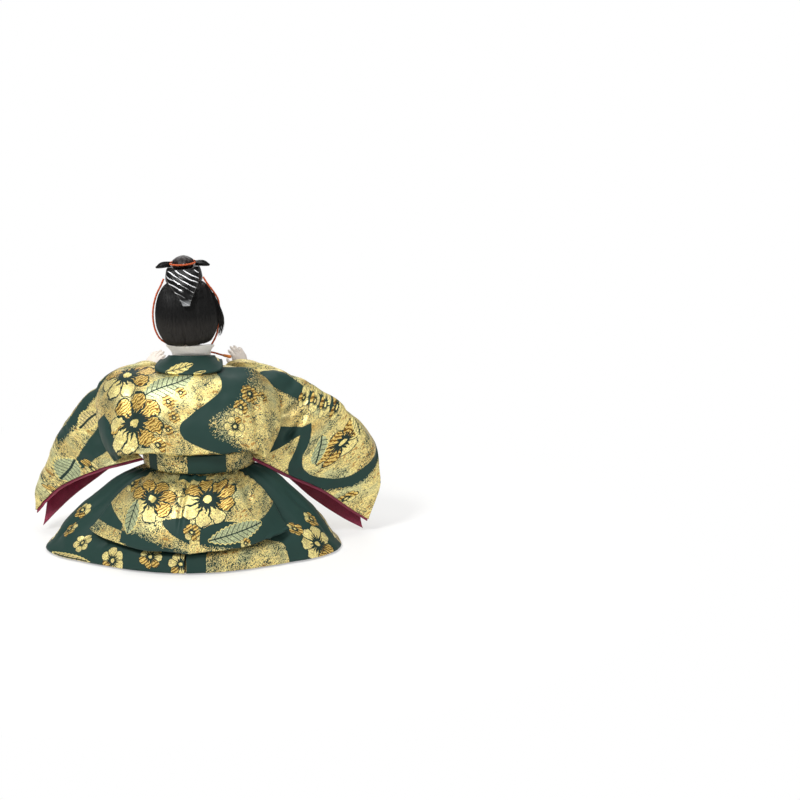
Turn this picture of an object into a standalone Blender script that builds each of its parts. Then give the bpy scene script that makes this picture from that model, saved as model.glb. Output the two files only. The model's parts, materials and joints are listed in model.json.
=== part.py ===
"""A seated court-musician hina doll, seen in the photograph from behind.

Metres, +Z up. The face looks along -Y and the doll's left hand lies towards +X.
The origin is on the floor, on the underside of the base board below the neck.
"""

import math

import bmesh
import bpy
from mathutils import Matrix, Vector

# Driving dimensions. Places on the body are shares of these three.
BODY_WIDTH = 0.100    # across the seat of the trousers, at its lower seam
BODY_DEPTH = 0.100    # from the back of the seat to the folded shins in front
BODY_HEIGHT = 0.100   # from the floor to the top of the collar at the nape
HEAD_SIZE = 0.050     # from the foot of the neck to the top of the hat
HEAD_TILT = math.radians(3.0)

# Thicknesses and clearances.
BROCADE = 0.0008
LINING = 0.0005
GAP = 0.0003
SLACK = 0.0004        # between two layers of cloth that follow each other

# Base board and straw body.
BOARD_THICKNESS = 0.0026
BOARD_SHARE = 0.93    # of the hem's outline
WAIST_HALF_WIDTH = BODY_WIDTH * 0.235
WAIST_HALF_DEPTH = BODY_DEPTH * 0.21
BINDING_RADIUS = 0.0009
STICK_RADIUS = 0.0025
STICK_DEPTH = 0.030
WIRE_RADIUS = 0.0008
ARM_RADIUS = 0.0043
WRIST_RADIUS = 0.0031
WIRE_GRIP = 0.0050    # how far the wire reaches into a hand
LEG_ROLL_RADIUS = 0.0070
PLEAT_DEPTH = 0.0022
BAND_THICKNESS = 0.0010
KNOT_SIZE = 0.0075
HAND_LENGTH = 0.0175
FINGER_RADIUS = 0.0011
CORD_RADIUS = 0.0005
TAIL_END_RADIUS = 0.0008
CHIN_KNOT_RADIUS = 0.0014
HAIR_GAP = 0.0005
HAT_PLATE = 0.0008

# Where the waist ellipse and the neck stand, as shares of the body's sizes.
waist_share = Vector((-0.035, 0.06, 0.48))
band_height_shares = (0.442, 0.535)
neck_share = Vector((0.005, 0.03, 0.98))


def clear_scene():
    for item in list(bpy.data.objects):
        bpy.data.objects.remove(item, do_unlink=True)


def finish(item, colour, roughness=0.7, metallic=0.0):
    """Gives a piece its own material."""
    material = bpy.data.materials.new(item.name)
    material.use_nodes = True
    shader = material.node_tree.nodes["Principled BSDF"]
    shader.inputs["Base Color"].default_value = (*colour, 1.0)
    shader.inputs["Roughness"].default_value = roughness
    shader.inputs["Metallic"].default_value = metallic
    item.data.materials.append(material)
    return item


def add_mesh(name, bm, colour, roughness=0.7, metallic=0.0, guide=False):
    bmesh.ops.recalc_face_normals(bm, faces=bm.faces[:])
    if bm.calc_volume(signed=True) < 0:
        bmesh.ops.reverse_faces(bm, faces=bm.faces[:])
    mesh = bpy.data.meshes.new(name)
    bm.to_mesh(mesh)
    bm.free()
    mesh.shade_smooth()
    item = bpy.data.objects.new(name, mesh)
    bpy.context.scene.collection.objects.link(item)
    if guide:
        item.hide_render = True
        item.display_type = "WIRE"
        return item
    return finish(item, colour, roughness, metallic)


def cut(item, cutter, operation="DIFFERENCE"):
    change = item.modifiers.new(cutter.name, "BOOLEAN")
    change.operation = operation
    change.object = cutter


def body_point(share):
    """A place on the body from its shares of the width, depth and height."""
    return Vector((share[0] * BODY_WIDTH, share[1] * BODY_DEPTH, share[2] * BODY_HEIGHT))


def head_frame():
    return Matrix.Translation(body_point(neck_share)) @ Matrix.Rotation(HEAD_TILT, 4, "Y")


def head_point(share):
    """A place on the head from its shares of HEAD_SIZE, in the tilted head's frame."""
    return head_frame() @ (Vector(share) * HEAD_SIZE)


def along(points, t):
    """The place at t, from 0 to 1, on the smooth curve through evenly spaced points."""
    spans = len(points) - 1
    place = min(max(t, 0.0), 1.0) * spans
    i = min(int(place), spans - 1)
    f = place - i
    b, c = points[i], points[i + 1]
    a = points[i - 1] if i > 0 else 2 * b - c
    d = points[i + 2] if i + 2 <= spans else 2 * c - b
    bend = 3 * b - a - 3 * c + d
    return 0.5 * (2 * b + (c - a) * f + (2 * a - 5 * b + 4 * c - d) * f**2 + bend * f**3)


def net(rows):
    """The smooth surface through a table of points: u runs along a row, v from row to row."""

    def surface(u, v):
        return along([along(row, u) for row in rows], v)

    return surface


def normal_at(surface, u, v, step=0.01):
    across = surface(min(u + step, 1.0), v) - surface(max(u - step, 0.0), v)
    down = surface(u, min(v + step, 1.0)) - surface(u, max(v - step, 0.0))
    return across.cross(down).normalized()


def sheet(name, surface, columns, rows, thickness, colour, inset=0.0, side=1, **looks):
    """A closed layer of cloth: it reaches from inset to inset + thickness below the surface."""
    bm = bmesh.new()
    layers = []
    for depth in (inset, inset + thickness):
        grid = []
        for j in range(rows + 1):
            places = [(i / columns, j / rows) for i in range(columns + 1)]
            grid.append([
                bm.verts.new(surface(u, v) - normal_at(surface, u, v) * depth * side)
                for u, v in places
            ])
        layers.append(grid)
    for grid in layers:
        for j in range(rows):
            for i in range(columns):
                bm.faces.new((grid[j][i], grid[j][i + 1], grid[j + 1][i + 1], grid[j + 1][i]))
    rims = []
    for grid in layers:
        rim = grid[0][:-1] + [row[-1] for row in grid[:-1]]
        rims.append(rim + grid[-1][:0:-1] + [row[0] for row in grid[:0:-1]])
    bridge(bm, *rims)
    return add_mesh(name, bm, colour, **looks)


def bridge(bm, first, second):
    count = len(first)
    for i in range(count):
        k = (i + 1) % count
        bm.faces.new((first[i], first[k], second[k], second[i]))


def stacked(name, rings, colour, guide=False, **looks):
    """A closed solid through rings of points, with flat ends."""
    bm = bmesh.new()
    loops = [[bm.verts.new(p) for p in ring] for ring in rings]
    for first, second in zip(loops, loops[1:]):
        bridge(bm, first, second)
    bm.faces.new(loops[0][::-1])
    bm.faces.new(loops[-1])
    return add_mesh(name, bm, colour, guide=guide, **looks)


def ellipse(centre, half_width, half_depth, sides, frame=None):
    """A level ring of points about a centre."""
    ring = []
    for i in range(sides):
        a = math.tau * i / sides
        p = centre + Vector((half_width * math.cos(a), half_depth * math.sin(a), 0))
        ring.append(frame @ p if frame else p)
    return ring


def frames_along(path):
    """Upright cross-section axes at each point of a path."""
    frames = []
    side = None
    for i, p in enumerate(path):
        ahead = (path[min(i + 1, len(path) - 1)] - path[max(i - 1, 0)]).normalized()
        if side is None:
            side = ahead.orthogonal().normalized()
        side = (side - ahead * side.dot(ahead)).normalized()
        frames.append((p, side, ahead.cross(side)))
    return frames


def rings_along(path, radii, sides):
    rings = []
    for (p, side, up), radius in zip(frames_along(path), radii):
        turn = [math.tau * i / sides for i in range(sides)]
        rings.append([p + (side * math.cos(a) + up * math.sin(a)) * radius for a in turn])
    return rings


def sleeve_tube(name, path, radii, bore, sides, colour):
    """A padded tube with a bore for the wire: outside, end, bore and other end are one skin."""
    bm = bmesh.new()
    outer = rings_along(path, radii, sides)
    inner = rings_along(path, [bore] * len(path), sides)
    loops = [[bm.verts.new(p) for p in ring] for ring in outer + inner[::-1]]
    for first, second in zip(loops, loops[1:] + loops[:1]):
        bridge(bm, first, second)
    return add_mesh(name, bm, colour)


def cord(name, path, radius, colour, closed=False):
    """A round cord: a curve with a bevel along a smooth route."""
    curve = bpy.data.curves.new(name, "CURVE")
    curve.dimensions = "3D"
    curve.bevel_depth = radius
    curve.bevel_resolution = 2
    curve.use_fill_caps = True
    spline = curve.splines.new("POLY")
    spline.points.add(len(path) - 1)
    for point, place in zip(spline.points, path):
        point.co = (*place, 1.0)
    spline.use_cyclic_u = closed
    item = bpy.data.objects.new(name, curve)
    bpy.context.scene.collection.objects.link(item)
    return finish(item, colour)


# Base board and hem

# From the middle of the back, round the doll's left side, to the middle of the front.
hem_shares = [
    Vector((0.00, 0.565, 0)), Vector((0.17, 0.540, 0)), Vector((0.34, 0.475, 0)),
    Vector((0.51, 0.385, 0)), Vector((0.66, 0.29, 0)), Vector((0.74, 0.16, 0)),
    Vector((0.73, 0.00, 0)), Vector((0.66, -0.20, 0)), Vector((0.54, -0.39, 0)),
    Vector((0.36, -0.53, 0)), Vector((0.17, -0.58, 0)), Vector((0.00, -0.57, 0)),
]


def hem_point(s, side):
    p = along(hem_shares, s)
    return body_point((p.x * side, p.y, 0))


def waist_point(s, side, out=0.0):
    """On the waist ellipse, s from 0 at the back to 1 at the front, out metres outside it."""
    a = math.radians(90 - 180 * s)
    centre = body_point(waist_share)
    return centre + Vector((
        (WAIST_HALF_WIDTH + out) * math.cos(a) * side,
        (WAIST_HALF_DEPTH + out) * math.sin(a),
        0,
    ))


def base_board():
    steps = 22
    outline = [hem_point(i / steps, 1) * BOARD_SHARE for i in range(steps)]
    outline += [hem_point(1 - i / steps, -1) * BOARD_SHARE for i in range(steps)]
    lift = Vector((0, 0, BOARD_THICKNESS))
    stacked("base_board", [outline, [p + lift for p in outline]], (0.62, 0.47, 0.29))


# Straw body

# Height as a share of BODY_HEIGHT, half width and half depth as shares of the waist's.
core_shares = [
    (0.029, 0.80, 0.84), (0.20, 0.90, 0.92), (0.42, 0.985, 0.985), (0.50, 0.985, 0.985),
    (0.62, 0.92, 0.90), (0.76, 0.88, 0.80), (0.85, 0.70, 0.64), (0.90, 0.42, 0.42),
]


def core_centre(height):
    """The body leans to the doll's left and forward as it rises."""
    t = max(0.0, (height - waist_share.z) / (neck_share.z - waist_share.z))
    x = waist_share.x + (neck_share.x - waist_share.x) * t
    y = waist_share.y + (neck_share.y - waist_share.y) * t
    return body_point((x, y, height))


def table_row(rows, height):
    """The row of a table at a height between its rows; each row starts with its height."""
    height = min(max(height, rows[0][0]), rows[-1][0])
    for low, high in zip(rows, rows[1:]):
        if height <= high[0]:
            f = (height - low[0]) / (high[0] - low[0])
            return [a + (b - a) * f for a, b in zip(low, high)]


def core_radii(height):
    _, width_share, depth_share = table_row(core_shares, height)
    return width_share * WAIST_HALF_WIDTH, depth_share * WAIST_HALF_DEPTH


ARM_STEPS = 12
left_arm_shares = [
    (0.24, 0.09, 0.84), (0.285, 0.08, 0.78), (0.335, 0.035, 0.675),
    (0.335, -0.06, 0.66), (0.305, -0.16, 0.735), (0.260, -0.235, 0.815),
]
right_arm_shares = [
    (-0.24, 0.09, 0.84), (-0.285, 0.08, 0.78), (-0.335, 0.035, 0.675),
    (-0.335, -0.06, 0.66), (-0.305, -0.155, 0.745), (-0.255, -0.225, 0.835),
]


def arm_path(shares, start, end, steps):
    points = [body_point(s) for s in shares]
    return [along(points, start + (end - start) * i / steps) for i in range(steps + 1)]


def body_core():
    sides = 28
    rings = []
    for height, _, _ in core_shares:
        half_width, half_depth = core_radii(height)
        rings.append(ellipse(core_centre(height), half_width, half_depth, sides))
    core = stacked("body_core", rings, (0.72, 0.58, 0.33), roughness=0.9)
    depth = STICK_DEPTH + GAP
    overrun = HEAD_SIZE * 0.2
    frame = head_frame()
    bore_rings = [
        ellipse(Vector((0, 0, z)), STICK_RADIUS + GAP, STICK_RADIUS + GAP, 20, frame)
        for z in (-depth, overrun)
    ]
    cut(core, stacked("stick_bore", bore_rings, (0, 0, 0), guide=True))
    channel = rings_along(wire_path(), [WIRE_RADIUS + GAP] * len(wire_path()), 10)
    cut(core, stacked("wire_channel", channel, (0, 0, 0), guide=True))
    for name, height in (("upper_binding", 0.70), ("lower_binding", 0.30)):
        half_width, half_depth = core_radii(height)
        out = BINDING_RADIUS + GAP + SLACK
        sink = core_centre(height)
        ring = ellipse(sink, half_width + out, half_depth + out, 18)
        cord(name, ring, BINDING_RADIUS, (0.55, 0.42, 0.24), closed=True)


def wire_path():
    left = arm_path(left_arm_shares, 0.0, 1.0, ARM_STEPS)
    right = arm_path(right_arm_shares, 0.0, 1.0, ARM_STEPS)
    tips = []
    for path in (left, right):
        ahead = (path[-1] - path[-2]).normalized()
        tips.append(path[-1] + ahead * WIRE_GRIP)
    return [tips[0], *left[::-1], *right, tips[1]]


def arms():
    path = wire_path()
    stacked("arm_wire", rings_along(path, [WIRE_RADIUS] * len(path), 8), (0.45, 0.45, 0.45))
    for side, shares in (("left", left_arm_shares), ("right", right_arm_shares)):
        steps = 10
        path = arm_path(shares, 0.03, 0.985, steps)
        taper = WRIST_RADIUS - ARM_RADIUS
        radii = [ARM_RADIUS + taper * i / steps for i in range(steps + 1)]
        sleeve_tube(f"{side}_arm_padding", path, radii, WIRE_RADIUS + GAP, 8, (0.80, 0.72, 0.58))


# Legs

leg_roll_shares = [(0.27, 0.23), (0.43, 0.14), (0.50, -0.05), (0.40, -0.26), (0.14, -0.35)]
leg_roll_radius_shares = (1.0, 1.0, 1.0, 0.93, 0.86)


def leg_roll(name, side):
    points = []
    for (x, y), share in zip(leg_roll_shares, leg_roll_radius_shares):
        p = body_point((x * side, y, 0))
        p.z = BOARD_THICKNESS + GAP + LEG_ROLL_RADIUS * share
        points.append(p)
    steps = 14
    path = [along(points, i / steps) for i in range(steps + 1)]
    sizes = [Vector((share, 0, 0)) for share in leg_roll_radius_shares]
    radii = [along(sizes, i / steps).x * LEG_ROLL_RADIUS for i in range(steps + 1)]
    stacked(name, rings_along(path, radii, 12), (0.82, 0.74, 0.60))


# Each station's profile runs from the hem to the waist: the share of the way out from the
# waist to the hem, and the share of the waist's height.
leg_profiles_shares = [
    [(1.00, 0.020), (1.00, 0.11), (0.97, 0.195), (0.80, 0.26), (0.36, 0.58), (0.02, 0.88), (0.0, 1.0)],
    [(1.00, 0.020), (0.98, 0.12), (0.92, 0.22), (0.74, 0.33), (0.34, 0.62), (0.02, 0.88), (0.0, 1.0)],
    [(1.00, 0.020), (0.92, 0.12), (0.81, 0.27), (0.62, 0.46), (0.24, 0.74), (0.02, 0.88), (0.0, 1.0)],
    [(1.00, 0.020), (0.95, 0.13), (0.84, 0.27), (0.63, 0.42), (0.31, 0.60), (0.02, 0.88), (0.0, 1.0)],
    [(1.00, 0.020), (0.99, 0.13), (0.89, 0.25), (0.66, 0.38), (0.32, 0.60), (0.02, 0.88), (0.0, 1.0)],
]
leg_pleats = 4


def profile_place(profiles, s, w):
    """The shares out and up at s between the stations and w along their profiles."""
    rows = [[Vector((*point, 0)) for point in profile] for profile in profiles]
    place = along([along(row, w) for row in rows], s)
    return Vector((max(place.x, 0.0), place.y, 0))


def leg_surface(side):
    start, end = 0.0025, 0.998

    def surface(u, v):
        s = start + (end - start) * (u * 1.25 if u < 0.4 else 0.5 + (u - 0.4) / 1.2)
        place = profile_place(leg_profiles_shares, s, v)
        inner = waist_point(s, side, GAP + BROCADE)
        hem = hem_point(s, side)
        p = inner + (hem - inner) * place.x
        p.z = inner.z * place.y
        fold = max(0.0, (s - 0.52) / 0.48)
        wave = abs(2 * ((fold * leg_pleats) % 1.0) - 1) - 0.5
        out = Vector((hem.x, hem.y, 0)).normalized()
        grip = min(1.0, fold * 4) * min(1.0, place.x * 1.6)
        return p + out * wave * PLEAT_DEPTH * grip

    return surface


seat_profiles_shares = [
    [(0.0, 1.0), (0.02, 0.90), (0.40, 0.83), (0.78, 0.70), (1.03, 0.50), (1.10, 0.34), (1.07, 0.245),
     (0.97, 0.262)],
    [(0.0, 1.0), (0.02, 0.90), (0.36, 0.83), (0.68, 0.71), (0.90, 0.54), (1.02, 0.38), (1.05, 0.275),
     (0.97, 0.300)],
    [(0.0, 1.0), (0.02, 0.90), (0.24, 0.83), (0.42, 0.74), (0.60, 0.60), (0.74, 0.46), (0.86, 0.350),
     (0.83, 0.375)],
]


def seat_surface(u, v):
    s = abs(2 * u - 1) * 0.29
    side = 1 if u < 0.5 else -1
    place = profile_place(seat_profiles_shares, s / 0.29, v)
    inner = waist_point(s, side, 2 * (GAP + BROCADE) + GAP)
    hem = hem_point(s, side)
    p = inner + (hem - inner) * place.x
    p.z = inner.z * place.y
    return p


def trousers():
    green = (0.045, 0.085, 0.065)
    for name, side in (("left_trouser_leg", 1), ("right_trouser_leg", -1)):
        sheet(name, leg_surface(side), 34, 8, BROCADE, green, side=-side)
    sheet("trouser_seat", seat_surface, 22, 9, BROCADE, (0.62, 0.50, 0.20), side=1)


def waist_band():
    bm = bmesh.new()
    out = 3 * (GAP + BROCADE) + 2 * GAP
    steps = 40
    loops = []
    for extra, height in ((0, 0), (BAND_THICKNESS, 0), (BAND_THICKNESS, 1), (0, 1)):
        ring = []
        for i in range(steps):
            t = 2 * i / steps
            p = waist_point(t if t <= 1 else 2 - t, 1 if t <= 1 else -1, out + extra)
            p.z = band_height_shares[height] * BODY_HEIGHT
            ring.append(bm.verts.new(p))
        loops.append(ring)
    for first, second in zip(loops, loops[1:] + loops[:1]):
        bridge(bm, first, second)
    add_mesh("waist_band", bm, (0.05, 0.09, 0.07))
    front = waist_point(1, 1, out + BAND_THICKNESS + GAP)
    front.z = (band_height_shares[0] + 0.03) * BODY_HEIGHT
    rings = []
    for y, half in ((0.0, 0.36), (-0.12, 0.5), (-0.30, 0.5), (-0.42, 0.34)):
        centre = front + Vector((0, y * KNOT_SIZE, 0))
        ring = []
        for i in range(12):
            a = math.tau * i / 12
            flat = Vector((math.cos(a) * half, 0, math.sin(a) * half * 0.8)) * KNOT_SIZE
            ring.append(centre + flat)
        rings.append(ring)
    stacked("waist_knot", rings, (0.06, 0.10, 0.08))


# Jacket

# Rows run from the shoulders down to the tucked lower edge, from the doll's left to its right.
jacket_back_shares = [
    [(0.440, 0.05, 0.845), (0.415, 0.06, 0.870), (0.340, 0.06, 0.907), (0.20, 0.07, 0.932),
     (0.00, 0.14, 0.948), (-0.18, 0.08, 0.930), (-0.300, 0.06, 0.920), (-0.375, 0.06, 0.870),
     (-0.410, 0.05, 0.825)],
    [(0.455, 0.05, 0.790), (0.465, 0.09, 0.800), (0.370, 0.17, 0.845), (0.20, 0.22, 0.880),
     (0.00, 0.245, 0.893), (-0.20, 0.22, 0.880), (-0.340, 0.17, 0.840), (-0.430, 0.09, 0.785),
     (-0.430, 0.05, 0.770)],
    [(0.455, 0.06, 0.710), (0.470, 0.11, 0.710), (0.380, 0.235, 0.730), (0.20, 0.30, 0.760),
     (0.00, 0.32, 0.770), (-0.20, 0.30, 0.755), (-0.360, 0.235, 0.720), (-0.450, 0.12, 0.705),
     (-0.440, 0.06, 0.710)],
    [(0.435, 0.10, 0.610), (0.455, 0.15, 0.615), (0.370, 0.275, 0.620), (0.19, 0.34, 0.640),
     (0.00, 0.355, 0.645), (-0.19, 0.34, 0.640), (-0.350, 0.275, 0.625), (-0.440, 0.15, 0.620),
     (-0.425, 0.10, 0.610)],
    [(0.400, 0.13, 0.530), (0.420, 0.18, 0.530), (0.330, 0.295, 0.545), (0.18, 0.35, 0.560),
     (0.00, 0.36, 0.555), (-0.17, 0.35, 0.560), (-0.310, 0.295, 0.560), (-0.410, 0.18, 0.550),
     (-0.400, 0.13, 0.540)],
    [(0.370, 0.14, 0.500), (0.380, 0.185, 0.495), (0.305, 0.262, 0.530), (0.16, 0.312, 0.548),
     (0.00, 0.325, 0.540), (-0.16, 0.315, 0.550), (-0.290, 0.268, 0.548), (-0.380, 0.19, 0.515),
     (-0.370, 0.14, 0.510)],
]
left_front_shares = [
    [(0.31, 0.09, 0.884), (0.25, 0.10, 0.898), (0.17, 0.11, 0.906), (0.13, 0.125, 0.912)],
    [(0.31, 0.00, 0.875), (0.24, -0.03, 0.898), (0.165, -0.08, 0.900), (0.120, -0.115, 0.890)],
    [(0.27, -0.08, 0.760), (0.21, -0.13, 0.770), (0.10, -0.182, 0.780), (-0.01, -0.204, 0.790)],
    [(0.25, -0.09, 0.620), (0.19, -0.15, 0.620), (0.06, -0.205, 0.620), (-0.08, -0.210, 0.620)],
    [(0.24, -0.09, 0.505), (0.18, -0.145, 0.500), (0.06, -0.196, 0.500), (-0.08, -0.200, 0.500)],
]
right_front_shares = [
    [(-0.29, 0.09, 0.886), (-0.24, 0.10, 0.898), (-0.17, 0.11, 0.906), (-0.13, 0.125, 0.912)],
    [(-0.30, 0.00, 0.875), (-0.24, -0.03, 0.896), (-0.165, -0.08, 0.900), (-0.110, -0.115, 0.890)],
    [(-0.27, -0.08, 0.760), (-0.21, -0.12, 0.770), (-0.10, -0.165, 0.780), (0.02, -0.178, 0.790)],
    [(-0.25, -0.09, 0.650), (-0.19, -0.14, 0.650), (-0.05, -0.182, 0.650), (0.09, -0.178, 0.650)],
    [(-0.24, -0.09, 0.555), (-0.18, -0.14, 0.550), (-0.05, -0.186, 0.550), (0.09, -0.180, 0.550)],
]


def body_net(table):
    return net([[body_point(share) for share in row] for row in table])


def jacket():
    gold = (0.60, 0.48, 0.20)
    sheet("jacket_back", body_net(jacket_back_shares), 22, 10, BROCADE, gold, side=1)
    sheet("jacket_front_left", body_net(left_front_shares), 8, 9, BROCADE, gold, side=-1)
    sheet("jacket_front_right", body_net(right_front_shares), 8, 9, BROCADE, gold, side=1)


# Collars: the lower, outer edge and the upper, inner edge.
outer_collar_shares = [
    [(0.02, -0.226, 0.64), (0.10, -0.212, 0.75), (0.165, -0.152, 0.876), (0.188, 0.00, 0.948),
     (0.155, 0.16, 0.944), (0.00, 0.215, 0.928), (-0.165, 0.16, 0.946), (-0.188, 0.00, 0.948),
     (-0.155, -0.150, 0.866), (-0.085, -0.1885, 0.765)],
    [(-0.07, -0.232, 0.68), (0.02, -0.214, 0.79), (0.085, -0.160, 0.890), (0.115, -0.03, 0.958),
     (0.085, 0.09, 0.990), (0.00, 0.13, 0.998), (-0.085, 0.09, 0.990), (-0.115, -0.03, 0.958),
     (-0.078, -0.164, 0.880), (-0.010, -0.1900, 0.800)],
]
inner_collar_shares = [
    [(0.015, -0.150, 0.860), (0.075, -0.08, 0.905), (0.098, -0.02, 0.930), (0.080, 0.08, 0.950),
     (0.00, 0.116, 0.955), (-0.080, 0.08, 0.950), (-0.098, -0.02, 0.930), (-0.075, -0.08, 0.905),
     (-0.015, -0.142, 0.866)],
    [(0.010, -0.146, 0.890), (0.065, -0.080, 0.945), (0.093, -0.01, 1.005), (0.072, 0.078, 1.038),
     (0.00, 0.112, 1.046), (-0.072, 0.078, 1.038), (-0.093, -0.01, 1.005), (-0.065, -0.080, 0.945),
     (-0.012, -0.138, 0.893)],
]


def collars():
    sheet("outer_collar", body_net(outer_collar_shares), 34, 2, BROCADE, (0.04, 0.08, 0.065), side=-1)
    sheet("inner_collar", body_net(inner_collar_shares), 30, 2, LINING, (0.86, 0.83, 0.78), side=-1)


# Sleeves: rows run from the armhole to the cuff, each from the outer panel's lower rim, over
# the arm, to the inner panel's lower rim.
left_sleeve_shares = [
    [(0.28, 0.15, 0.475), (0.35, 0.08, 0.57), (0.41, 0.04, 0.71), (0.36, 0.01, 0.85),
     (0.245, -0.12, 0.77), (0.235, -0.16, 0.62), (0.240, -0.16, 0.475)],
    [(0.44, 0.11, 0.42), (0.505, 0.03, 0.55), (0.52, 0.00, 0.70), (0.390, -0.035, 0.882),
     (0.230, -0.145, 0.77), (0.250, -0.185, 0.58), (0.36, -0.175, 0.39)],
    [(0.61, 0.00, 0.33), (0.67, -0.06, 0.46), (0.63, -0.08, 0.640), (0.375, -0.10, 0.885),
     (0.195, -0.180, 0.75), (0.350, -0.225, 0.51), (0.49, -0.205, 0.28)],
    [(0.74, -0.08, 0.235), (0.775, -0.13, 0.35), (0.67, -0.18, 0.585), (0.310, -0.165, 0.890),
     (0.180, -0.215, 0.74), (0.530, -0.250, 0.405), (0.65, -0.20, 0.14)],
    [(0.845, -0.14, 0.12), (0.825, -0.20, 0.28), (0.62, -0.28, 0.57), (0.275, -0.205, 0.895),
     (0.175, -0.255, 0.73), (0.700, -0.264, 0.35), (0.80, -0.175, 0.025)],
]
right_sleeve_shares = [
    [(-0.350, 0.15, 0.48), (-0.365, 0.08, 0.57), (-0.40, 0.04, 0.71), (-0.36, 0.01, 0.85),
     (-0.245, -0.12, 0.77), (-0.245, -0.16, 0.62), (-0.260, -0.17, 0.475)],
    [(-0.47, 0.10, 0.385), (-0.54, 0.03, 0.52), (-0.57, 0.00, 0.69), (-0.42, -0.03, 0.878),
     (-0.230, -0.145, 0.78), (-0.255, -0.185, 0.58), (-0.38, -0.18, 0.36)],
    [(-0.65, 0.01, 0.275), (-0.73, -0.04, 0.43), (-0.75, -0.08, 0.685), (-0.40, -0.09, 0.885),
     (-0.200, -0.180, 0.76), (-0.340, -0.220, 0.53), (-0.54, -0.205, 0.21)],
    [(-0.79, -0.07, 0.15), (-0.87, -0.09, 0.31), (-0.86, -0.14, 0.55), (-0.320, -0.155, 0.898),
     (-0.180, -0.210, 0.75), (-0.560, -0.250, 0.39), (-0.71, -0.195, 0.09)],
    [(-0.885, -0.13, 0.07), (-0.945, -0.14, 0.31), (-0.83, -0.23, 0.58), (-0.275, -0.200, 0.905),
     (-0.170, -0.250, 0.74), (-0.745, -0.262, 0.32), (-0.85, -0.175, 0.018)],
]


def sleeves():
    gold = (0.62, 0.50, 0.22)
    wine = (0.20, 0.012, 0.045)
    for name, table, side in (
        ("left_sleeve", left_sleeve_shares, 1),
        ("right_sleeve", right_sleeve_shares, -1),
    ):
        surface = body_net(table)
        sheet(name, surface, 20, 10, BROCADE, gold, side=side)
        sheet(f"{name}_lining", surface, 20, 10, LINING, wine, BROCADE + SLACK, side)


# Hands

palm_shares = [  # along the hand, half width, half thickness, as shares of the length
    (0.00, 0.165, 0.165), (0.14, 0.150, 0.135), (0.30, 0.195, 0.120),
    (0.48, 0.230, 0.110), (0.58, 0.215, 0.095),
]
finger_shares = [  # root across, tip across, tip along and curl, for the four fingers
    (0.150, 0.165, 0.86, 0.16), (0.055, 0.060, 0.98, 0.20),
    (-0.045, -0.040, 1.00, 0.22), (-0.140, -0.150, 0.90, 0.20),
]


def hand(name, shares, roll, thumb_side):
    """A small carved hand, its palm turned inwards, on the end of the arm's wire."""
    path = arm_path(shares, 0.0, 1.0, ARM_STEPS)
    ahead = (path[-1] - path[-2]).normalized()
    wrist = path[-1] + ahead * GAP
    frame = Matrix.Translation(wrist) @ ahead.to_track_quat("Z", "Y").to_matrix().to_4x4()
    frame = frame @ Matrix.Rotation(roll, 4, "Z")
    skin = (0.88, 0.84, 0.80)

    def place(across, curl, reach):
        return frame @ (Vector((across, curl, reach)) * HAND_LENGTH)

    rings = []
    for reach, half_width, half_thickness in palm_shares:
        ring = []
        for i in range(14):
            a = math.tau * i / 14
            ring.append(place(half_width * math.cos(a), half_thickness * math.sin(a), reach))
        rings.append(ring)
    item = stacked(name, rings, skin, roughness=0.45)
    digits = []
    for root, tip, reach, curl in finger_shares:
        mid = 0.5 + (reach - 0.5) * 0.45
        bend = (tip, curl * 0.5, (mid + reach) / 2)
        digits.append([(root, 0.0, 0.50), (root, 0.02, mid), bend, (tip, curl, reach)])
    thumb = thumb_side
    digits.append([
        (0.13 * thumb, 0.0, 0.24), (0.25 * thumb, 0.06, 0.38),
        (0.31 * thumb, 0.13, 0.52), (0.30 * thumb, 0.18, 0.66),
    ])
    for number, digit in enumerate(digits):
        points = [place(*share) for share in digit]
        path = [along(points, i / 5) for i in range(6)]
        radii = [FINGER_RADIUS * share for share in (1.05, 1.0, 0.97, 0.90, 0.78, 0.45)]
        part = stacked(f"{name}_digit_{number}", rings_along(path, radii, 8), skin, guide=True)
        cut(item, part, "UNION")
    bore = [place(0, 0, -0.1), frame @ Vector((0, 0, WIRE_GRIP))]
    hole = stacked(f"{name}_bore", rings_along(bore, [WIRE_RADIUS + GAP] * 2, 10), skin, guide=True)
    cut(item, hole)


# Head: height, half width, half depth and centre's depth, as shares of HEAD_SIZE.
head_shares = [
    (0.006, 0.110, 0.110, 0.000), (0.120, 0.104, 0.104, 0.000), (0.165, 0.120, 0.130, -0.020),
    (0.195, 0.165, 0.195, -0.045), (0.245, 0.205, 0.238, -0.036), (0.320, 0.238, 0.264, -0.024),
    (0.420, 0.256, 0.276, -0.016), (0.540, 0.252, 0.278, -0.010), (0.640, 0.224, 0.252, 0.000),
    (0.710, 0.165, 0.185, 0.008), (0.745, 0.080, 0.090, 0.010),
]
nose_shares = (0.385, 0.030, 0.045)   # height, projection and spread
HEAD_SIDES = 24


def head():
    rings = []
    frame = head_frame()
    rows = 18
    table = [Vector(row) for row in head_shares]
    for j in range(rows + 1):
        height, half_width, half_depth, centre = along(table, j / rows)
        ring = []
        for i in range(HEAD_SIDES):
            a = math.tau * (i + 0.5) / HEAD_SIDES
            x = half_width * math.cos(a)
            y = half_depth * math.sin(a) + centre
            if y < 0:
                level, out, spread = nose_shares
                near = math.exp(-((x / (spread * 0.55)) ** 2) - ((height - level) / spread) ** 2)
                y -= out * near
            ring.append(frame @ (Vector((x, y, height)) * HEAD_SIZE))
        rings.append(ring)
    stacked("head", rings, (0.90, 0.86, 0.82), roughness=0.4)
    stick = [
        ellipse(Vector((0, 0, z)), STICK_RADIUS, STICK_RADIUS, 20, frame)
        for z in (-STICK_DEPTH, head_shares[0][0] * HEAD_SIZE - GAP)
    ]
    stacked("neck_stick", stick, (0.70, 0.55, 0.35))


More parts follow.
